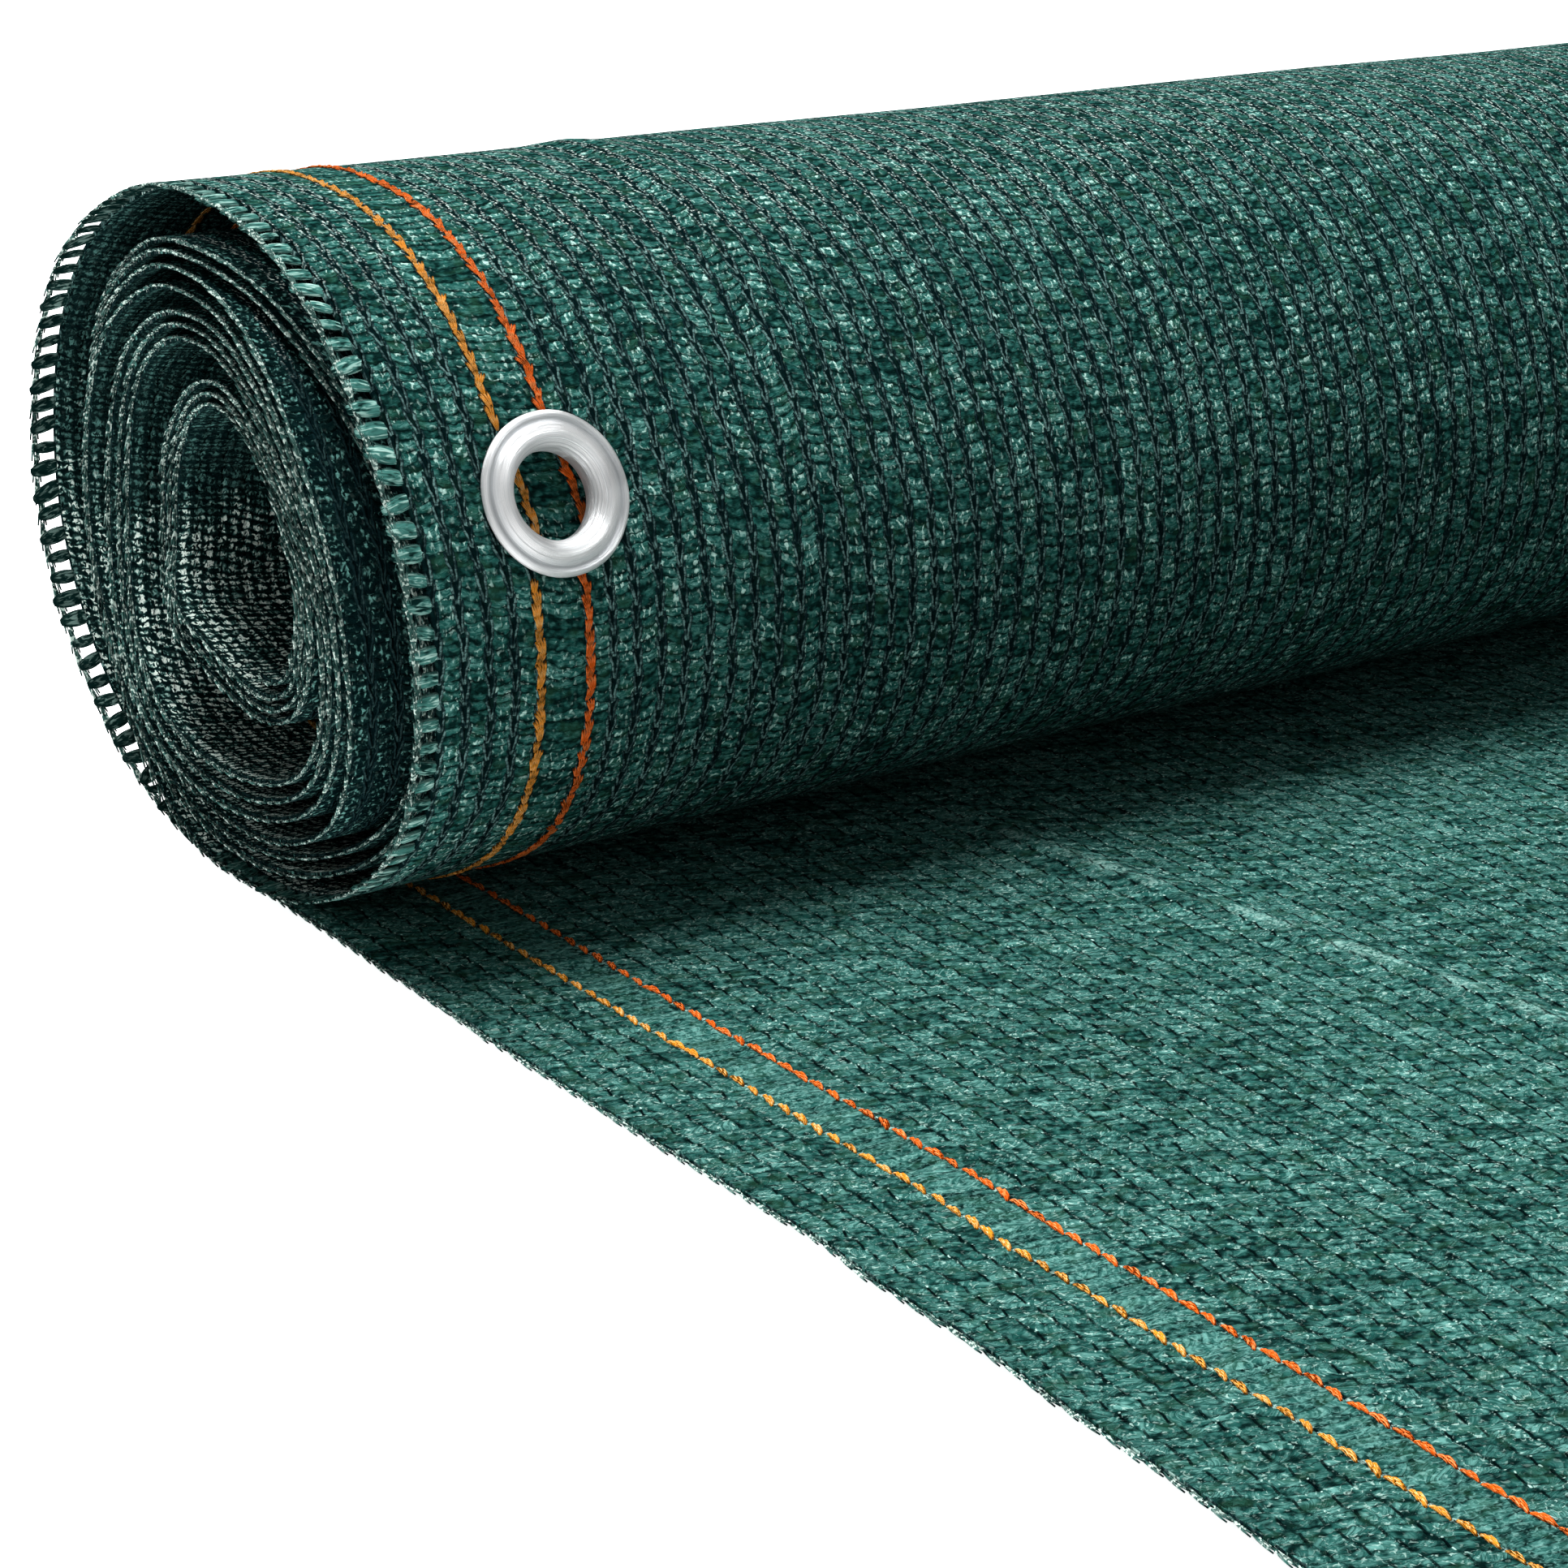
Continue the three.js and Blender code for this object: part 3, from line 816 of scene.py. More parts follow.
    # Painted highlights on the stitch tops along the crest, where the cloth faces up.
    crest_highlight = (-graph.attribute("facing_up")).rise(0.80, 1.0) * 0.55
    thread = graph.blend(crest_highlight * flakes.rise(0.56, 0.68) * chain.rise(0.3, 0.8), thread,
                         colours.bead)
    on_chain = (chain * 0.85).over(0.3) * has_column
    # Painted shade in the hollows beside the stitch columns.
    under = graph.blend(hollow, body, colours.chain_shadow)
    colour = graph.blend(on_chain, under, thread)
    roughness = 0.5 - lit.clamped() * 0.14
    finish_surface(graph, colour, roughness, height, 0.0007, MATTE)
    return material


def lit_stitch_tops(graph, colours, places, fuzz, colour):
    """The tape face inside the roll: painted in shade, but for painted highlights on stitch tops
    that catch the light.
    """
    u, v, wale, course = places
    strand = (wale * 2.0 + 0.5).floor()
    rows = course * 2.5 + (strand * 0.5).fraction()
    bead_luck = graph.chance(strand, rows.floor(), 4.0)
    bead_side = abs(wale * 2.0 - strand + (rows.fraction() - 0.5) * 0.5 + fuzz[1] * 0.4)
    bead_end = abs(rows.fraction() - 0.5 + fuzz[2] * 0.5)
    bead = (1.0 - bead_side.rise(0.18, 0.42)) * (1.0 - bead_end.rise(0.20, 0.48))
    sparks = graph.noise(
        graph.vector(u * 2300.0, v * 1500.0), detail=1.0, roughness=0.6, distortion=0.5)
    # The painted light is stronger where the face looks up.
    light_from_above = graph.attribute("facing_up").rise(-0.4, 0.7) * 1.35 + 0.30
    bead = bead * sparks.rise(0.38, 0.58) * (bead_luck * 0.7 + 0.3) * light_from_above
    # Painted shade over the whole face, then painted highlights on the stitch tops.
    deep = graph.blend(0.95, colour, colours.chain_shadow)
    deep = graph.blend((bead * 1.6).clamped(), deep, colours.tape_light)
    deep = graph.blend(((bead - 0.40) * 2.4).clamped(), deep, colours.bead)
    return deep


def tape_face_material(sizes, colours):
    """The other face: soft slanting tapes, with a short dark float on each stitch, painted as a
    slit in shade.
    """
    material, graph = new_material("Netting Tape Face")
    u, v, wale, course, quick, fuzz = knit_grid(graph, sizes, 0.13)
    cell, place, lane = tape_cells(sizes, wale)

    # The floats: a thin slit along each wale, sunk in the bump and painted in shade, once a course,
    # each row set off by half.
    column, has_column, stitches, slit_luck = stitch_columns(
        graph, sizes, wale, course, 0.2, 1.0)
    side = wale - column
    mid = stitches.fraction() - 0.5
    slit_side = abs(side - mid * 0.26 + fuzz[1] * 0.06)
    slit = (1.0 - slit_side.rise(0.010, 0.060)) * (1.0 - abs(mid).rise(0.20, 0.36)) * has_column
    slit = slit * (slit_luck * 0.5 + 0.6)
    seam = (1.0 - abs(side).rise(0.03, 0.2)) * has_column

    # The tapes: a soft puff between each pair of floats, slanting one way and then the other.
    way = graph.chance(cell, 5.0, 1.0)
    row_shift = (cell * 0.5).fraction()
    puffs = course + row_shift + way * 0.3 + quick[2] * 0.5 + (place - 0.5) * 0.5
    halves = puffs * 2.0
    puff_number = halves.floor()
    luck = graph.chance(cell, puff_number, 9.0)
    slant = (place - 0.5) * ((puff_number * 0.5).fraction() * 4.0 - 1.0)
    crown, sides = rounded_puff(place, halves.fraction(), 4.0, 0.98, 6.0)
    puff = crown * sides * (luck * 0.4 + 0.6)
    fibres = graph.noise(
        graph.vector(u * 900.0 + quick[1] * 6.0 + luck * 7.0,
                     v * 2100.0 + slant * 3.4 + quick[0] * 13.0),
        detail=2.0, roughness=0.65, distortion=0.7)
    flakes = graph.noise(
        graph.vector(u * 1500.0, v * 1900.0 - slant * 1.5), detail=1.0, roughness=0.6,
        distortion=0.5)

    height = puff * 0.3 + fibres * 0.6 + flakes * 0.35 - slit * 0.8 - seam * 0.12
    big = graph.noise(graph.vector(u, v), scale=24.0, detail=2.0) - 0.5
    strands = fibres.rise(0.40, 0.64)
    tufts = graph.noise(graph.vector(u * 620.0, v * 760.0), detail=1.0) - 0.5
    # Colour: painted shade where the puffs fall away, and lit fibres, glints, a glint at each
    # slit's end and lighter flakes in the wide lane as painted highlights.
    amount = puff * 0.55 + fuzz[2] * 0.9 + tufts * 1.4 + big * 0.3 + 0.17 + (luck - 0.5) * 0.3
    body = graph.blend(amount.rise(-0.1, 0.65), colours.tape_shadow, colours.tape)
    body = graph.blend(amount.rise(0.25, 1.2) * 0.45, body, colours.tape_soft)
    lit = strands * amount.rise(-0.1, 1.0) * (luck * 0.5 + 0.4)
    body = graph.blend(lit.clamped(), body, colours.tape_light)
    glint = flakes.rise(0.60, 0.74) * (luck * 0.7 + 0.05) * (1.0 - lane * 0.5)
    body = graph.blend(glint.clamped(), body, colours.tape_glint)
    pitch_share = WIDTH * MM / sizes.wales / sizes.course
    dot_side = (side - mid * 0.20 - 0.06) * pitch_share
    slit_end_glint = 1.0 - (dot_side * dot_side + (abs(mid) - 0.36) ** 2.0).rise(0.0005, 0.004)
    body = graph.blend(slit_end_glint * slit_luck.rise(0.5, 1.0) * has_column, body, colours.tape_glint)
    body = graph.blend(olive_patches(graph, u, v), body, colours.tape_olive)
    wide = flakes.rise(0.45, 0.7) * lane * 0.45
    body = graph.blend(wide, body, colours.tape_light)

    # The crease with painted highlights along it, the floats painted dark in shade, and pale tape
    # between the floats of the marking threads, painted with the glint colour as a highlight.
    middle, present = crease_line(v)
    crease = (1.0 - abs(u - middle + fuzz[0] * MM).rise(0.3 * MM, 2.2 * MM)) * present
    crease = crease * graph.noise(graph.vector(u * 90.0, v * 170.0), detail=1.0).rise(0.34, 0.66)
    body = graph.blend(crease * flakes.rise(0.3, 0.5) * 0.6, body, colours.tape_light)
    body = graph.blend(crease * flakes.rise(0.45, 0.6) * 0.4, body, colours.tape_glint)
    colour = graph.blend(slit * 0.95, body, colours.chain_shadow)
    off_stripe = abs(wale - float(sizes.amber_from_selvedge)).least(
        abs(wale - float(sizes.red_from_selvedge)))
    between = abs((v / sizes.course).fraction() - 0.5).rise(0.36, 0.44)
    bridge = (1.0 - off_stripe.rise(0.05, 0.13)) * between
    colour = graph.blend(bridge * flakes.rise(0.35, 0.6) * 0.7, colour, colours.tape_glint)

    # Inside the roll the face is painted in shade, with painted highlights on stitch tops.
    inside = wound_past(v, 0.0, 0.5)
    deep = lit_stitch_tops(graph, colours, (u, v, wale, course), fuzz, colour)
    colour = graph.blend(inside, colour, deep)
    roughness = 0.5 - lit.clamped() * 0.12
    finish_surface(graph, colour, roughness, height, 0.0006, MATTE)
    return material


def thread_material(name, dark, light, pale, shaded=0.5, sparkle=0.5, beads=0.0):
    """A split-tape thread, painted in shade where it dives into the cloth and with pale fibres as a
    painted highlight where it stands up.

    shaded is how much of a stitch lies in painted shade, sparkle how many fibres are pale, and
    beads how strongly the top of a stitch catches the light as a painted highlight.
    """
    material, graph = new_material(name)
    tone = graph.attribute("tone")
    run = graph.attribute("run")
    # The roll's own shade, painted over the thread.
    unshaded = 1.0 - graph.attribute("shade") * 0.85
    place = graph.node("ShaderNodeTexCoord")["Object"]
    around = graph.attribute("around")
    fibres = graph.noise(
        graph.vector(around * 12.0 + tone * 41.0, run * 2.4 + tone * 17.0), detail=2.0,
        roughness=0.6, distortion=0.4)
    patches = graph.noise(
        graph.vector(around * 2.5 + tone * 23.0, run * 3.5 + tone * 9.0), detail=1.0)
    # Painted shade where the thread dives into the cloth, painted highlight where it stands up.
    stands = (run * (1.0 - run) * 4.0 + run * 0.35).rise(shaded * 0.5, shaded * 0.5 + 0.6)
    uneven = (tone - 0.5) * 0.5 + (patches - 0.5) * 1.0 + (fibres - 0.5) * 2.4
    amount = (stands * 0.6 + uneven) * unshaded
    colour = graph.blend(amount.rise(0.0, 0.7), dark, light)
    threads = fibres.rise(0.50, 0.66) * (tone * 0.6 + 0.4) * stands * sparkle
    # Painted highlight beads on the stitch tops.
    flecks = graph.noise(place, scale=2400.0, detail=0.0, flat=False)
    bead = flecks.rise(0.56, 0.62) * run.rise(0.1, 0.4) * (tone * 0.8 + 0.5) * beads
    pale_highlight = (threads + bead).clamped() * (unshaded * 0.6 + 0.4)
    colour = graph.blend(pale_highlight, colour, pale)
    finish_surface(graph, colour, 0.5, fibres, 0.00025, MATTE)
    return material


def metal_material(colours):
    """Pressed bright metal with fine turning marks and scuffs, painted shade in grey-blue bands,
    and a groove painted darker in shade.
    """
    material, graph = new_material("Eyelet Metal")
    place = graph.node("ShaderNodeTexCoord")["Object"]
    scuffs = graph.noise(place, scale=900.0, detail=4.0, roughness=0.65, flat=False)
    clouds = graph.noise(place, scale=160.0, detail=3.0, flat=False)
    turning = graph.attribute("turning")
    marks = graph.noise(graph.vector(turning * 260.0, clouds * 0.6), detail=2.0)
    dull = (clouds.rise(0.42, 0.70) * 0.6 + scuffs.rise(0.58, 0.78) * 0.5).clamped()
    rings = marks.rise(0.35, 0.70)
    groove = 1.0 - abs(turning - GROOVE_PLACE).rise(0.015, 0.06)
    shade_bands = graph.noise(graph.vector(turning * 34.0, clouds * 1.2), detail=1.0).rise(0.40, 0.62)
    colour = graph.blend(rings * 0.5, colours.metal, tuple(0.66 * c for c in colours.metal))
    colour = graph.blend(dull * 0.5, colour, tuple(0.62 * c for c in colours.metal))
    # Painted shade in grey-blue bands round the turning, and darker in the groove.
    colour = graph.blend(shade_bands * 0.35, colour, METAL_BAND_SHADE)
    colour = graph.blend(groove * 0.55, colour, METAL_GROOVE_SHADE)
    roughness = 0.32 + dull * 0.22 + marks * 0.12
    metallic = 0.90 - dull * 0.25
    height = marks * 0.8 + scuffs * 0.35
    finish_surface(graph, colour, roughness, height, 0.00008, metallic=metallic)
    return material


# Meshes.


def link_mesh(name, mesh):
    made = bpy.data.objects.new(name, mesh)
    bpy.context.scene.collection.objects.link(made)
    return made


def mesh_from_quads(name, points, quads, uv=None, face_materials=None):
    """A smooth mesh in metres from millimetre points and four-sided faces."""
    used, quads = np.unique(quads, return_inverse=True)
    quads = quads.reshape(-1, 4).astype(np.int32)
    points = points[used]
    mesh = bpy.data.meshes.new(name)
    mesh.vertices.add(len(points))
    mesh.vertices.foreach_set("co", (points * MM).astype(np.float32).ravel())
    mesh.loops.add(quads.size)
    mesh.loops.foreach_set("vertex_index", quads.ravel())
    mesh.polygons.add(len(quads))
    mesh.polygons.foreach_set("loop_start", np.arange(0, quads.size, 4, dtype=np.int32))
    if face_materials is not None:
        mesh.polygons.foreach_set("material_index", face_materials.astype(np.int32))
    mesh.update(calc_edges=True)
    mesh.polygons.foreach_set("use_smooth", np.ones(len(quads), bool))
    if uv is not None:
        layer = mesh.uv_layers.new(name="Cloth")
        layer.data.foreach_set("uv", (uv[used][quads.ravel()] * MM).astype(np.float32).ravel())
    mesh.validate()
    return mesh


def store_floats(mesh, name, values):
    """Keeps one number for each point of a mesh under a name that materials can read."""
    layer = mesh.attributes.new(name, "FLOAT", "POINT")
    layer.data.foreach_set("value", np.asarray(values, np.float32).ravel())


def face_outward(mesh):
    """Turns every face of the closed shells of a mesh outwards."""
    work = bmesh.new()
    work.from_mesh(mesh)
    bmesh.ops.recalc_face_normals(work, faces=work.faces)
    work.to_mesh(mesh)
    work.free()


def sheet_quads(kept):
    """Faces of a closed sheet over a grid of cells, some of which are left out.

    Returns quads and, for each, 0 on the outer face and the rims and 1 on the inner face.
    """
    rows, columns = kept.shape
    across = columns + 1
    layer = (rows + 1) * across
    r, c = np.nonzero(kept)
    a = r * across + c
    outer = np.stack([a, a + across, a + across + 1, a + 1], axis=1)
    inner = outer[:, ::-1] + layer
    padded = np.pad(kept, 1)
    rims = []
    for step_r, step_c, first, second in ((0, -1, 0, 1), (0, 1, 2, 3), (-1, 0, 3, 0), (1, 0, 1, 2)):
        open_side = ~padded[r + 1 + step_r, c + 1 + step_c]
        edge = outer[open_side]
        start, end = edge[:, first], edge[:, second]
        rims.append(np.stack([end, start, start + layer, end + layer], axis=1))
    rims = np.concatenate(rims)
    quads = np.concatenate([outer, inner, rims])
    faces = np.concatenate([np.zeros(len(outer)), np.ones(len(inner)), np.zeros(len(rims))])
    return quads, faces


# The body's rows: the longest up to the quarter where the outer wrap ends, the longest past it,
# and a row's length as a share of the winding's reach there. That reach counts as FLAT_REACH on
# the flat part, and is never taken below the tightest.
OUTER_ROW = 3.2
INNER_ROW = 4.4
OUTER_ROWS_END = 4.4
ROW_BEND = 0.13
FLAT_REACH = 60.0
TIGHTEST_REACH = 12.0


def body_rows():
    """Places along the cloth for the body's rows, closer where the cloth bends tightly."""
    places = [0.0]
    while places[-1] < PATH.length:
        quarter = np.interp(places[-1], PATH.along, PATH.quarter)
        reach = FLAT_REACH if quarter < 0 else float(
            round_curve(OUTLINE_REACH, 0.5 + quarter / 4) * run_curve(TURN_SHARES, 2 * quarter))
        longest = OUTER_ROW if quarter < OUTER_ROWS_END else INNER_ROW
        places.append(places[-1] + min(longest, ROW_BEND * max(reach, TIGHTEST_REACH)))
    places[-1] = PATH.length
    return np.array(places)


def body_columns(first):
    """Places across the cloth for the body's columns, closest at the eyelets, ridge and crease.

    The first and last columns are those that close the lane.
    """
    edge = np.concatenate([[CLOSED_LANE_EDGE, first, 8, 11.5], np.arange(14, 34, 2.0), [36, 40]])
    shaped = np.concatenate([np.arange(44, 72, 3.0), [78, 85], np.arange(91, 118, 3.0)])
    middle = np.linspace(124, WIDTH - 44, 16)
    return np.concatenate([edge, shaped, middle, WIDTH - edge[::-1]])


def cloth_body(sizes):
    """The knitted body between the two ladders, one closed sheet with its eyelet holes."""
    thickness = sizes.cloth_thickness / MM
    outer_depth = (CLOTH_SPACE - thickness) / 2
    rows, columns = body_rows(), body_columns(sizes.ladder_width / MM)
    along, across = np.meshgrid(rows, columns, indexing="ij")
    points = np.concatenate([
        PATH.place(across, along, depth).reshape(-1, 3)
        for depth in (outer_depth, outer_depth + thickness)])
    mid_along = (along[:-1, :-1] + along[1:, 1:]) / 2
    mid_across = (across[:-1, :-1] + across[1:, 1:]) / 2
    kept = np.ones(mid_along.shape, bool)
    open_lane = (mid_along[:, 0] > PATH.along_at(LANE_OPENS)) & (
        mid_along[:, 0] < PATH.along_at(LANE_CLOSES))
    kept[open_lane, 0] = kept[open_lane, -1] = False
    for centre in (EYELET_FROM_SELVEDGE, WIDTH - EYELET_FROM_SELVEDGE):
        away = np.hypot(mid_along - PATH.eyelet_along, mid_across - centre)
        kept &= away > CLOTH_HOLE_RADIUS
    quads, faces = sheet_quads(kept)
    uv = np.stack([across.ravel(), along.ravel()], axis=1)
    mesh = mesh_from_quads("netting_cloth", points, quads, np.concatenate([uv, uv]), faces)
    # How far the cloth faces up, read by the materials to paint light and shade.
    upward = np.interp(along.ravel(), PATH.along, PATH.in_z)
    store_floats(mesh, "facing_up", np.concatenate([upward, upward])[np.unique(quads)])
    return link_mesh("netting_cloth", mesh)


# Repeated stitches.


def points_object(name, places, along, outward, sizes, tones, shades):
    """One point for each stitch, with the two ways that turn it, its size, tone and shade."""
    mesh = bpy.data.meshes.new(name)
    mesh.vertices.add(len(places))
    mesh.vertices.foreach_set("co", (places * MM).astype(np.float32).ravel())
    for title, vectors in (("along_cloth", along), ("outward", outward)):
        layer = mesh.attributes.new(title, "FLOAT_VECTOR", "POINT")
        layer.data.foreach_set("vector", np.asarray(vectors, np.float32).ravel())
    for title, values in (("size", sizes), ("tone", tones), ("shade", shades)):
        store_floats(mesh, title, values)
    return link_mesh(name, mesh)


def new_stitch_tree(name, inputs):
    """A geometry tree with a points input, named sizes and a material, and its graph."""
    tree = bpy.data.node_groups.new(name, "GeometryNodeTree")
    tree.is_modifier = True
    face = tree.interface
    face.new_socket(name="Points", in_out="INPUT", socket_type="NodeSocketGeometry")
    for title, value in inputs.items():
        kind = "NodeSocketInt" if isinstance(value, int) else "NodeSocketFloat"
        socket = face.new_socket(name=title, in_out="INPUT", socket_type=kind)
        socket.default_value = value
    face.new_socket(name="Material", in_out="INPUT", socket_type="NodeSocketMaterial")
    face.new_socket(name="Stitches", in_out="OUTPUT", socket_type="NodeSocketGeometry")
    graph = Graph(tree)
    return tree, graph, graph.node("NodeGroupInput")


def keep_run(graph, line, name):
    """The line with each point's share of its length, from 0 to 1, kept under a name."""
    return graph.node(
        "GeometryNodeStoreNamedAttribute", {"data_type": "FLOAT", "domain": "POINT"},
        {"Geometry": line, "Name": name,
         "Value": graph.node("GeometryNodeSplineParameter")["Factor"]})["Geometry"]


def leg(graph, start, middle, end, radius, steps, sides, swell=0.0):
    """A short bent thread between two points, thicker in the middle by swell."""
    line = graph.node(
        "GeometryNodeCurveQuadraticBezier", {},
        {"Resolution": steps, "Start": start, "Middle": middle, "End": end})["Curve"]
    line = keep_run(graph, line, "run")
    profile = graph.node(
        "GeometryNodeCurvePrimitiveCircle", {"mode": "RADIUS"},
        {"Resolution": sides, "Radius": radius})["Curve"]
    profile = keep_run(graph, profile, "around")
    place = graph.node("GeometryNodeSplineParameter")["Factor"]
    scale = 1.0 + swell * (place * (1.0 - place) * 4.0 - 1.0)
    return graph.node(
        "GeometryNodeCurveToMesh", {},
        {"Curve": line, "Profile Curve": profile, "Scale": scale, "Fill Caps": True})["Mesh"]


def finish_stitch_tree(graph, given, shape):
    """Sets the shape on every point, turned to the cloth, and makes it plain mesh."""
    def vector_named(title):
        return graph.node("GeometryNodeInputNamedAttribute", {"data_type": "FLOAT_VECTOR"},
                          {"Name": title})["Attribute"]
    turn = graph.node(
        "FunctionNodeAxesToRotation", {"primary_axis": "Z", "secondary_axis": "Y"},
        {"Primary Axis": vector_named("outward"), "Secondary Axis": vector_named("along_cloth")},
    )["Rotation"]
    size = graph.node("GeometryNodeInputNamedAttribute", {"data_type": "FLOAT"},
                      {"Name": "size"})["Attribute"]
    instances = graph.node(
        "GeometryNodeInstanceOnPoints", {},
        {"Points": given["Points"], "Instance": shape, "Rotation": turn,
         "Scale": graph.vector(size, size, size)})["Instances"]
    real = graph.node("GeometryNodeRealizeInstances", {}, {"Geometry": instances})["Geometry"]
    smooth = graph.node("GeometryNodeSetShadeSmooth", {}, {"Geometry": real})["Geometry"]
    done = graph.node(
        "GeometryNodeSetMaterial", {}, {"Geometry": smooth, "Material": given["Material"]})
    graph.node("NodeGroupOutput", {}, {"Stitches": done["Geometry"]})


def chain_stitch_tree():
    """A stitch with two frayed legs that meet at its head, as a chain shows on the outer face."""
    tree, graph, given = new_stitch_tree("Chain Stitch", {
        "Length": 4.0 * MM, "Spread": 0.5 * MM, "Thread Radius": 0.3 * MM,
        "Rise": 0.35 * MM, "Thread Sides": 4, "Thread Steps": 3})
    legs = []
    for side in (-1.0, 1.0):
        for flare, reach, thin in ((1.0, -0.40, 0.7), (0.4, -0.5, 0.62)):
            start = graph.vector(given["Spread"] * side * flare * 1.15, given["Length"] * reach,
                                 given["Rise"] * (flare - 0.9))
            middle = graph.vector(given["Spread"] * side * flare * 0.75, given["Length"] * 0.05,
                                  given["Rise"] * (1.1 - 0.5 * flare))
            end = graph.vector(given["Thread Radius"] * side * flare * 0.5,
                               given["Length"] * 0.5, given["Rise"] * -0.4)
            legs.append(leg(graph, start, middle, end, given["Thread Radius"] * thin,
                            given["Thread Steps"], given["Thread Sides"], swell=0.3))
    shape = graph.node("GeometryNodeJoinGeometry", {}, {"Geometry": legs})["Geometry"]
    finish_stitch_tree(graph, given, shape)
    return tree


def float_stitch_tree():
    """Short strands laid over each other at a slant, as a chain shows on the inner face."""
    tree, graph, given = new_stitch_tree("Float Stitch", {
        "Length": 2.5 * MM, "Slant": 0.26 * MM, "Thread Radius": 0.24 * MM, "Rise": 0.22 * MM,
        "Thread Sides": 5, "Thread Steps": 2})
    strands = []
    for place, beside, tall in ((-0.17, -0.9, 1.4), (0.0, 1.4, 2.0), (0.19, -0.4, 1.6)):
        start = graph.vector(given["Slant"] * (beside - 1.2), given["Length"] * (place - 0.32),
                             given["Rise"] * -0.8)
        middle = graph.vector(given["Slant"] * beside * 0.5, given["Length"] * place,
                              given["Rise"] * tall)
        end = graph.vector(given["Slant"] * (beside + 0.8), given["Length"] * (place + 0.32),
                           given["Rise"] * -0.8)
        strands.append(leg(graph, start, middle, end, given["Thread Radius"],
                           given["Thread Steps"], given["Thread Sides"], swell=0.25))
    shape = graph.node("GeometryNodeJoinGeometry", {}, {"Geometry": strands})["Geometry"]
    finish_stitch_tree(graph, given, shape)
    return tree


def ladder_rung_tree():
    """A flat tape that bridges the open lane between the body and the edge chain."""
    tree, graph, given = new_stitch_tree("Ladder Rung", {
        "Reach": 3.2 * MM, "Slant": 0.5 * MM, "Half Width": 1.02 * MM, "Flatness": 0.34,
        "Rise": 0.75 * MM, "Tape Sides": 8, "Tape Steps": 6})
    sunk = given["Rise"] * -0.6
    start = graph.vector(given["Reach"] * -0.5, given["Slant"] * -1.0, sunk)
    middle = graph.vector(0.0, 0.0, given["Rise"])
    end = graph.vector(given["Reach"] * 0.5, given["Slant"], sunk)
    tape = leg(graph, start, middle, end, given["Half Width"],
               given["Tape Steps"], given["Tape Sides"], swell=0.45)
    flattened = graph.node(
        "GeometryNodeTransform", {},
        {"Geometry": tape, "Scale": graph.vector(1.0, 1.0, given["Flatness"])})["Geometry"]
    finish_stitch_tree(graph, given, flattened)
    return tree


def grow_stitches(name, points, tree, inputs, material):
    """Runs a stitch tree on a points object and keeps the result as a plain mesh."""
    modifier = points.modifiers.new("Stitches", "NODES")
    modifier.node_group = tree
    known = {item.name: item.identifier for item in tree.interface.items_tree
             if item.in_out == "INPUT"}
    for title, value in inputs.items():
        modifier[known[title]] = value
    modifier[known["Material"]] = material
    bpy.context.view_layer.update()
    evaluated = points.evaluated_get(bpy.context.evaluated_depsgraph_get())
    mesh = bpy.data.meshes.new_from_object(evaluated)
    points.modifiers.remove(modifier)
    bpy.data.objects.remove(points)
    for spare in [a.name for a in mesh.attributes if a.name in ("along_cloth", "outward", "size")]:
        mesh.attributes.remove(mesh.attributes[spare])
    face_outward(mesh)
    mesh.name = name
    return link_mesh(name, mesh)


def course_places(sizes, parts=1):
    """Places along the whole cloth of every course, or of every part of a course."""
    course = sizes.course / MM
    return np.arange(course / 2, PATH.length - course / 3, course / parts)


def across_from(side, from_edge):
    """Place across the cloth at a distance from one of the selvedges."""
    return from_edge if side == NEAR else WIDTH - from_edge


def stitch_points(name, across, along, depth, face, seed, size_change=0.08, turn_change=0.05,
                  shades=0.0):
    """Points for a row of stitches on one face, each a little unlike the next."""
    luck = np.random.default_rng(seed)
    across = np.broadcast_to(across, along.shape) + luck.normal(0, 0.07, along.shape)
    places, ahead, out = PATH.ways(across, along + luck.normal(0, 0.1, along.shape), depth, face)
    beside = np.cross(ahead, out)
    ahead = ahead + beside * luck.normal(0, turn_change, along.shape)[..., None]
    sizes = 1 + luck.uniform(-size_change, size_change, along.shape)
    shades = np.broadcast_to(shades, along.shape)
    tones = luck.uniform(0, 1, along.shape)
    return points_object(name, places.reshape(-1, 3), ahead.reshape(-1, 3), out.reshape(-1, 3),
                         sizes.ravel(), tones.ravel(), shades.ravel())


def settle(piece, slot, *nodes):
    """The piece rides on the part's body and stands for CAD nodes; slot is not used."""
    if nodes:
        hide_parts(*nodes)
    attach(piece, "root")


# Operators.


class NETTING_OT_cloth(Operator):
    """The knitted body, from the cut end to the roll's inner end"""

    bl_idname = "netting.cloth"
    bl_label = "Cloth"

    def execute(self, context):
        sizes, colours = context.scene.netting_sizes, context.scene.netting_colours
        piece = cloth_body(sizes)
        piece.data.materials.append(chain_face_material(sizes, colours))
        piece.data.materials.append(tape_face_material(sizes, colours))
        settle(piece, "netting", "netting_roll", "loose_end", "eyelet_patch_near",
               "eyelet_patch_far")
        return {"FINISHED"}


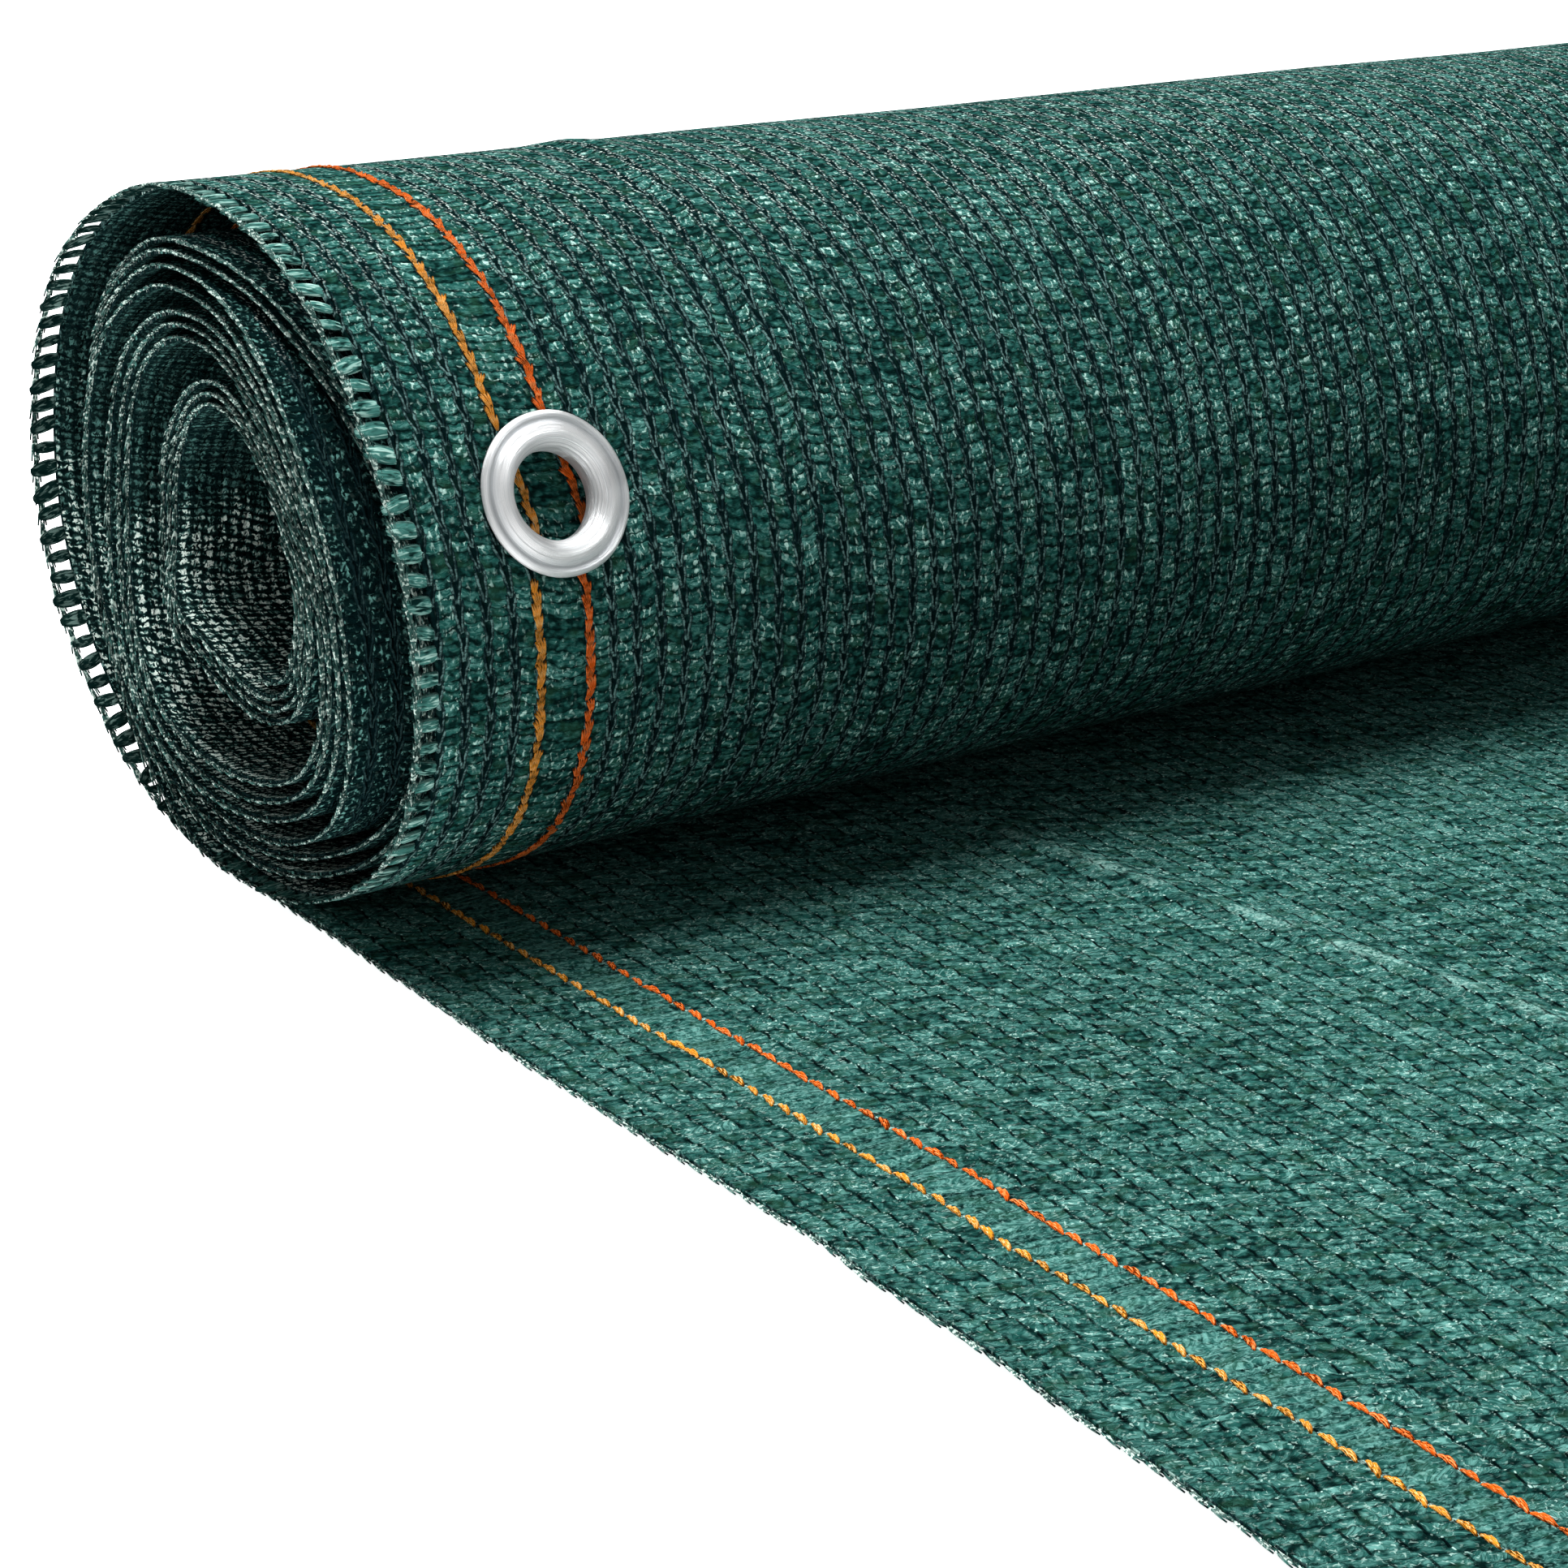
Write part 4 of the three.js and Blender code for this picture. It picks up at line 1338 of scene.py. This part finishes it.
class NETTING_OT_ladders(Operator):
    """The open ladder of tapes and the edge chain along both selvedges"""

    bl_idname = "netting.ladders"
    bl_label = "Selvedge ladders"

    def execute(self, context):
        sizes, colours = context.scene.netting_sizes, context.scene.netting_colours
        rung_tree, chain_tree = ladder_rung_tree(), chain_stitch_tree()
        # The ladder tape and edge chain are painted in shade where they dive into the cloth and
        # with highlights where they stand up; the edge chain's beads are painted highlights.
        tape = thread_material("Ladder Tape", tuple(colours.tape_shadow),
                               tuple(colours.tape_soft), tuple(colours.tape_glint), 0.5, 0.7)
        edge = thread_material("Edge Chain Thread", tuple(colours.chain_shadow),
                               tuple(colours.tape_soft), EDGE_FIBRE_HIGHLIGHT, 0.5, 0.4, 1.3)
        width = sizes.ladder_width / MM
        along = course_places(sizes)
        rung_places = along[(along > PATH.along_at(LANE_OPENS)) & (
            along < PATH.along_at(LANE_CLOSES))]
        for side in (NEAR, FAR):
            end = END_NAMES[side]
            # Rungs from the bottom up the back of the wrap, seen from inside it, are painted in
            # shade.
            points = stitch_points(
                f"rungs_{end}", across_from(side, width / 2 + 0.5), rung_places, RUNG_DEPTH,
                OUTER_FACE, RUNG_SEED + side, 0.2, 0.22, 1 - PATH.shade(rung_places, 1.6, 2.3))
            rungs = grow_stitches(
                f"selvedge_ladder_{end}", points, rung_tree,
                {"Reach": (width + 0.7) * MM, "Slant": 0.35 * MM * side}, tape)
            settle(rungs, "netting")
            # Edges of the turns inside the outer wrap are painted lightly in shade, more where they
            # are set back.
            points = stitch_points(
                f"links_{end}", across_from(side, 0.6), along, EDGE_LINK_DEPTH, OUTER_FACE,
                EDGE_LINK_SEED + side, 0.06, 0.05, 0.3 * PATH.shade(along, 3.9, 4.3, 1.0))
            chain = grow_stitches(
                f"edge_chain_{end}", points, chain_tree,
                {"Length": sizes.course * 1.35, "Spread": 0.50 * MM,
                 "Thread Radius": sizes.edge_thread, "Rise": 0.28 * MM}, edge)
            settle(chain, "netting")
        return {"FINISHED"}


class NETTING_OT_stripes(Operator):
    """The amber and orange-red marking threads inside both selvedges"""

    bl_idname = "netting.stripes"
    bl_label = "Marking stripes"

    def execute(self, context):
        sizes, colours = context.scene.netting_sizes, context.scene.netting_colours
        chain_tree = bpy.data.node_groups["Chain Stitch"]
        float_tree = float_stitch_tree()
        pitch = WIDTH / sizes.wales
        # Each thread's dark part is a shaded copy of its colour, and its pale fibres are painted
        # highlights.
        stripes = [
            (title, wale, thread_material(
                name, tuple(THREAD_SHADE * c for c in light), tuple(light), pale, shaded, 1.2))
            for title, wale, name, light, pale, shaded in (
                ("amber", sizes.amber_from_selvedge, "Amber Thread", colours.amber, AMBER_FIBRE_HIGHLIGHT,
                 0.4),
                ("red", sizes.red_from_selvedge, "Orange-Red Thread", colours.red, RED_FIBRE_HIGHLIGHT,
                 0.25))]
        links, courses = (
            places[np.abs(places - PATH.eyelet_along) > EYELET_OUTER_RADIUS - 1]
            for places in (course_places(sizes, 2), course_places(sizes)))
        weave = STRIPE_WEAVE * np.where(np.arange(len(links)) % 2, 1, -1)
        for side in (NEAR, FAR):
            for count, (title, wale, material) in enumerate(stripes):
                name = f"{title}_stripe_{END_NAMES[side]}"
                across = across_from(side, wale * pitch)
                points = stitch_points(
                    f"{name}_links", across + weave, links, STRIPE_LINK_DEPTH, OUTER_FACE,
                    STRIPE_LINK_SEED + count + 5 * side, 0.16, 0.22)
                chain = grow_stitches(
                    f"{name}_chain", points, chain_tree,
                    {"Length": sizes.course * 0.78, "Spread": 0.48 * MM,
                     "Thread Radius": sizes.stripe_thread * 0.72, "Rise": 0.36 * MM}, material)
                settle(chain, "netting")
                # Floats from where the cloth turns up into the roll onwards are painted in shade.
                points = stitch_points(
                    f"{name}_dashes", across, courses, STRIPE_FLOAT_DEPTH, INNER_FACE,
                    STRIPE_FLOAT_SEED + count + 5 * side, 0.12, 0.12,
                    PATH.shade(courses, -0.2, 0.4))
                floats = grow_stitches(
                    f"{name}_floats", points, float_tree,
                    {"Length": sizes.course * 0.96, "Slant": 0.17 * MM,
                     "Thread Radius": sizes.stripe_thread * 0.84}, material)
                settle(floats, "netting")
        return {"FINISHED"}


def eyelet_ring(side):
    """A pressed eyelet turned about its own axis and set on the flattened cloth."""
    profile = np.array(EYELET_PROFILE)
    angles = np.linspace(0, 2 * np.pi, EYELET_FACETS, endpoint=False)
    luck = np.random.default_rng(EYELET_SEED + side)
    out = np.array([0.0, -PATH.seat_in_y, -PATH.seat_in_z])
    right = np.array([1.0, 0.0, 0.0])
    up = np.cross(out, right)
    seat = np.array([
        PATH.eyelet_x(side),
        PATH.seat_y + PATH.seat_in_y * PATH.seat_depth,
        PATH.seat_z + PATH.seat_in_z * PATH.seat_depth,
    ])
    dents = sum(
        luck.normal(0, EYELET_DENT) * np.sin(k * angles + luck.uniform(0, 6.28))
        for k in range(2, 9))
    radius = profile[:, 0][None, :] * (1 + dents[:, None] * 0.08)
    height = profile[:, 1][None, :] + dents[:, None] * (profile[:, 1] > 0.5)
    spokes = np.cos(angles)[:, None, None] * right + np.sin(angles)[:, None, None] * up
    points = seat + radius[..., None] * spokes + height[..., None] * out
    count = len(profile)
    k, j = np.meshgrid(np.arange(EYELET_FACETS), np.arange(count), indexing="ij")
    a = k * count + j
    b = ((k + 1) % EYELET_FACETS) * count + j
    c = ((k + 1) % EYELET_FACETS) * count + (j + 1) % count
    d = k * count + (j + 1) % count
    quads = np.stack([a, b, c, d], axis=-1).reshape(-1, 4)
    name = f"eyelet_ring_{END_NAMES[side]}"
    mesh = mesh_from_quads(name, points.reshape(-1, 3), quads)
    distance = np.cumsum(np.concatenate([[0], np.hypot(*np.diff(profile, axis=0).T)]))
    store_floats(mesh, "turning", np.tile(distance / 10, EYELET_FACETS))
    face_outward(mesh)
    return link_mesh(name, mesh)


class NETTING_OT_eyelets(Operator):
    """The pressed metal eyelet at each selvedge"""

    bl_idname = "netting.eyelets"
    bl_label = "Eyelets"

    def execute(self, context):
        metal = metal_material(context.scene.netting_colours)
        for side in (NEAR, FAR):
            ring = eyelet_ring(side)
            ring.data.materials.append(metal)
            settle(ring, "eyelet_metal", f"eyelet_{END_NAMES[side]}")
        return {"FINISHED"}


def area_light(name, place, aim, size, power):
    """A white oblong light at a place, turned to its aim."""
    data = bpy.data.lights.new(name, "AREA")
    data.shape = "RECTANGLE"
    data.size, data.size_y = size
    data.energy = power
    light = link_mesh(name, data)
    light.location = place
    light.rotation_euler = (Vector(aim) - Vector(place)).to_track_quat("-Z", "Y").to_euler()
    return light


class NETTING_OT_stage(Operator):
    """A plain pale floor, soft lights and the camera"""

    bl_idname = "netting.stage"
    bl_label = "Stage"

    def execute(self, context):
        scene = context.scene
        settings = scene.netting_stage
        floor_mesh = bpy.data.meshes.new("floor")
        corners = [(x * FLOOR_HALF, y * FLOOR_HALF, FLOOR_HEIGHT)
                   for x, y in ((-1, -1), (1, -1), (1, 1), (-1, 1))]
        floor_mesh.from_pydata(corners, [], [(0, 1, 2, 3)])
        floor = link_mesh("floor", floor_mesh)
        material, graph = new_material("Pale Floor")
        finish_surface(graph, tuple(settings.floor_colour), 0.9, constants={
            "Emission Color": (1.0, 1.0, 1.0, 1.0), "Emission Strength": settings.floor_glow})
        floor_mesh.materials.append(material)

        world = bpy.data.worlds.new("Soft Surround")
        world.use_nodes = True
        background = world.node_tree.nodes["Background"]
        background.inputs["Color"].default_value = (1.0, 1.0, 1.0, 1.0)
        background.inputs["Strength"].default_value = settings.sky
        scene.world = world

        key = area_light("main_light", *MAIN_LIGHT, settings.key)
        glow = area_light("edge_light", *EDGE_LIGHT, settings.glow)

        sight = bpy.data.cameras.new("camera")
        sight.sensor_width = CAMERA_SENSOR
        sight.lens = CAMERA_LENS
        sight.clip_start, sight.clip_end = 0.01, 60.0
        camera = link_mesh("camera", sight)
        heading, pitch, lean = CAMERA_HEADING, CAMERA_PITCH, CAMERA_LEAN
        forward = Vector((np.sin(heading) * np.cos(pitch), np.cos(heading) * np.cos(pitch),
                          -np.sin(pitch)))
        level = Vector((np.cos(heading), -np.sin(heading), 0.0))
        down = forward.cross(level)
        right = level * np.cos(lean) + down * np.sin(lean)
        down = down * np.cos(lean) - level * np.sin(lean)
        turn = Matrix((right, -down, -forward)).transposed()
        camera.matrix_world = Matrix.Translation(Vector(CAMERA_PLACE) * MM) @ turn.to_4x4()
        scene.camera = camera
        scene.view_settings.view_transform = "Standard"
        return {"FINISHED"}


class NETTING_PT_sidebar(Panel):
    """Sizes, colours and the pieces in the order in which they are made"""

    bl_idname = "NETTING_PT_sidebar"
    bl_label = "Privacy Screen Netting"
    bl_space_type = "VIEW_3D"
    bl_region_type = "UI"
    bl_category = "Netting"

    def draw(self, context):
        scene = context.scene
        for title, settings in (
            ("Sizes", scene.netting_sizes),
            ("Colours", scene.netting_colours),
            ("Stage", scene.netting_stage),
        ):
            box = self.layout.box()
            box.label(text=title)
            for name in type(settings).__annotations__:
                box.prop(settings, name)
        column = self.layout.column(align=True)
        for operator in OPERATORS:
            column.operator(operator.bl_idname)


SETTINGS = (NettingSizes, NettingColours, StageSettings)
OPERATORS = (
    NETTING_OT_cloth,
    NETTING_OT_ladders,
    NETTING_OT_stripes,
    NETTING_OT_eyelets,
    NETTING_OT_stage,
)


def register():
    for one in (*SETTINGS, *OPERATORS, NETTING_PT_sidebar):
        bpy.utils.register_class(one)
    bpy.types.Scene.netting_sizes = PointerProperty(type=NettingSizes)
    bpy.types.Scene.netting_colours = PointerProperty(type=NettingColours)
    bpy.types.Scene.netting_stage = PointerProperty(type=StageSettings)


def unregister():
    del bpy.types.Scene.netting_stage
    del bpy.types.Scene.netting_colours
    del bpy.types.Scene.netting_sizes
    for one in reversed((*SETTINGS, *OPERATORS, NETTING_PT_sidebar)):
        bpy.utils.unregister_class(one)


def main():
    register()
    bpy.ops.netting.cloth()
    bpy.ops.netting.ladders()
    bpy.ops.netting.stripes()
    bpy.ops.netting.eyelets()
    bpy.ops.netting.stage()


if __name__ == "__main__":
    main()
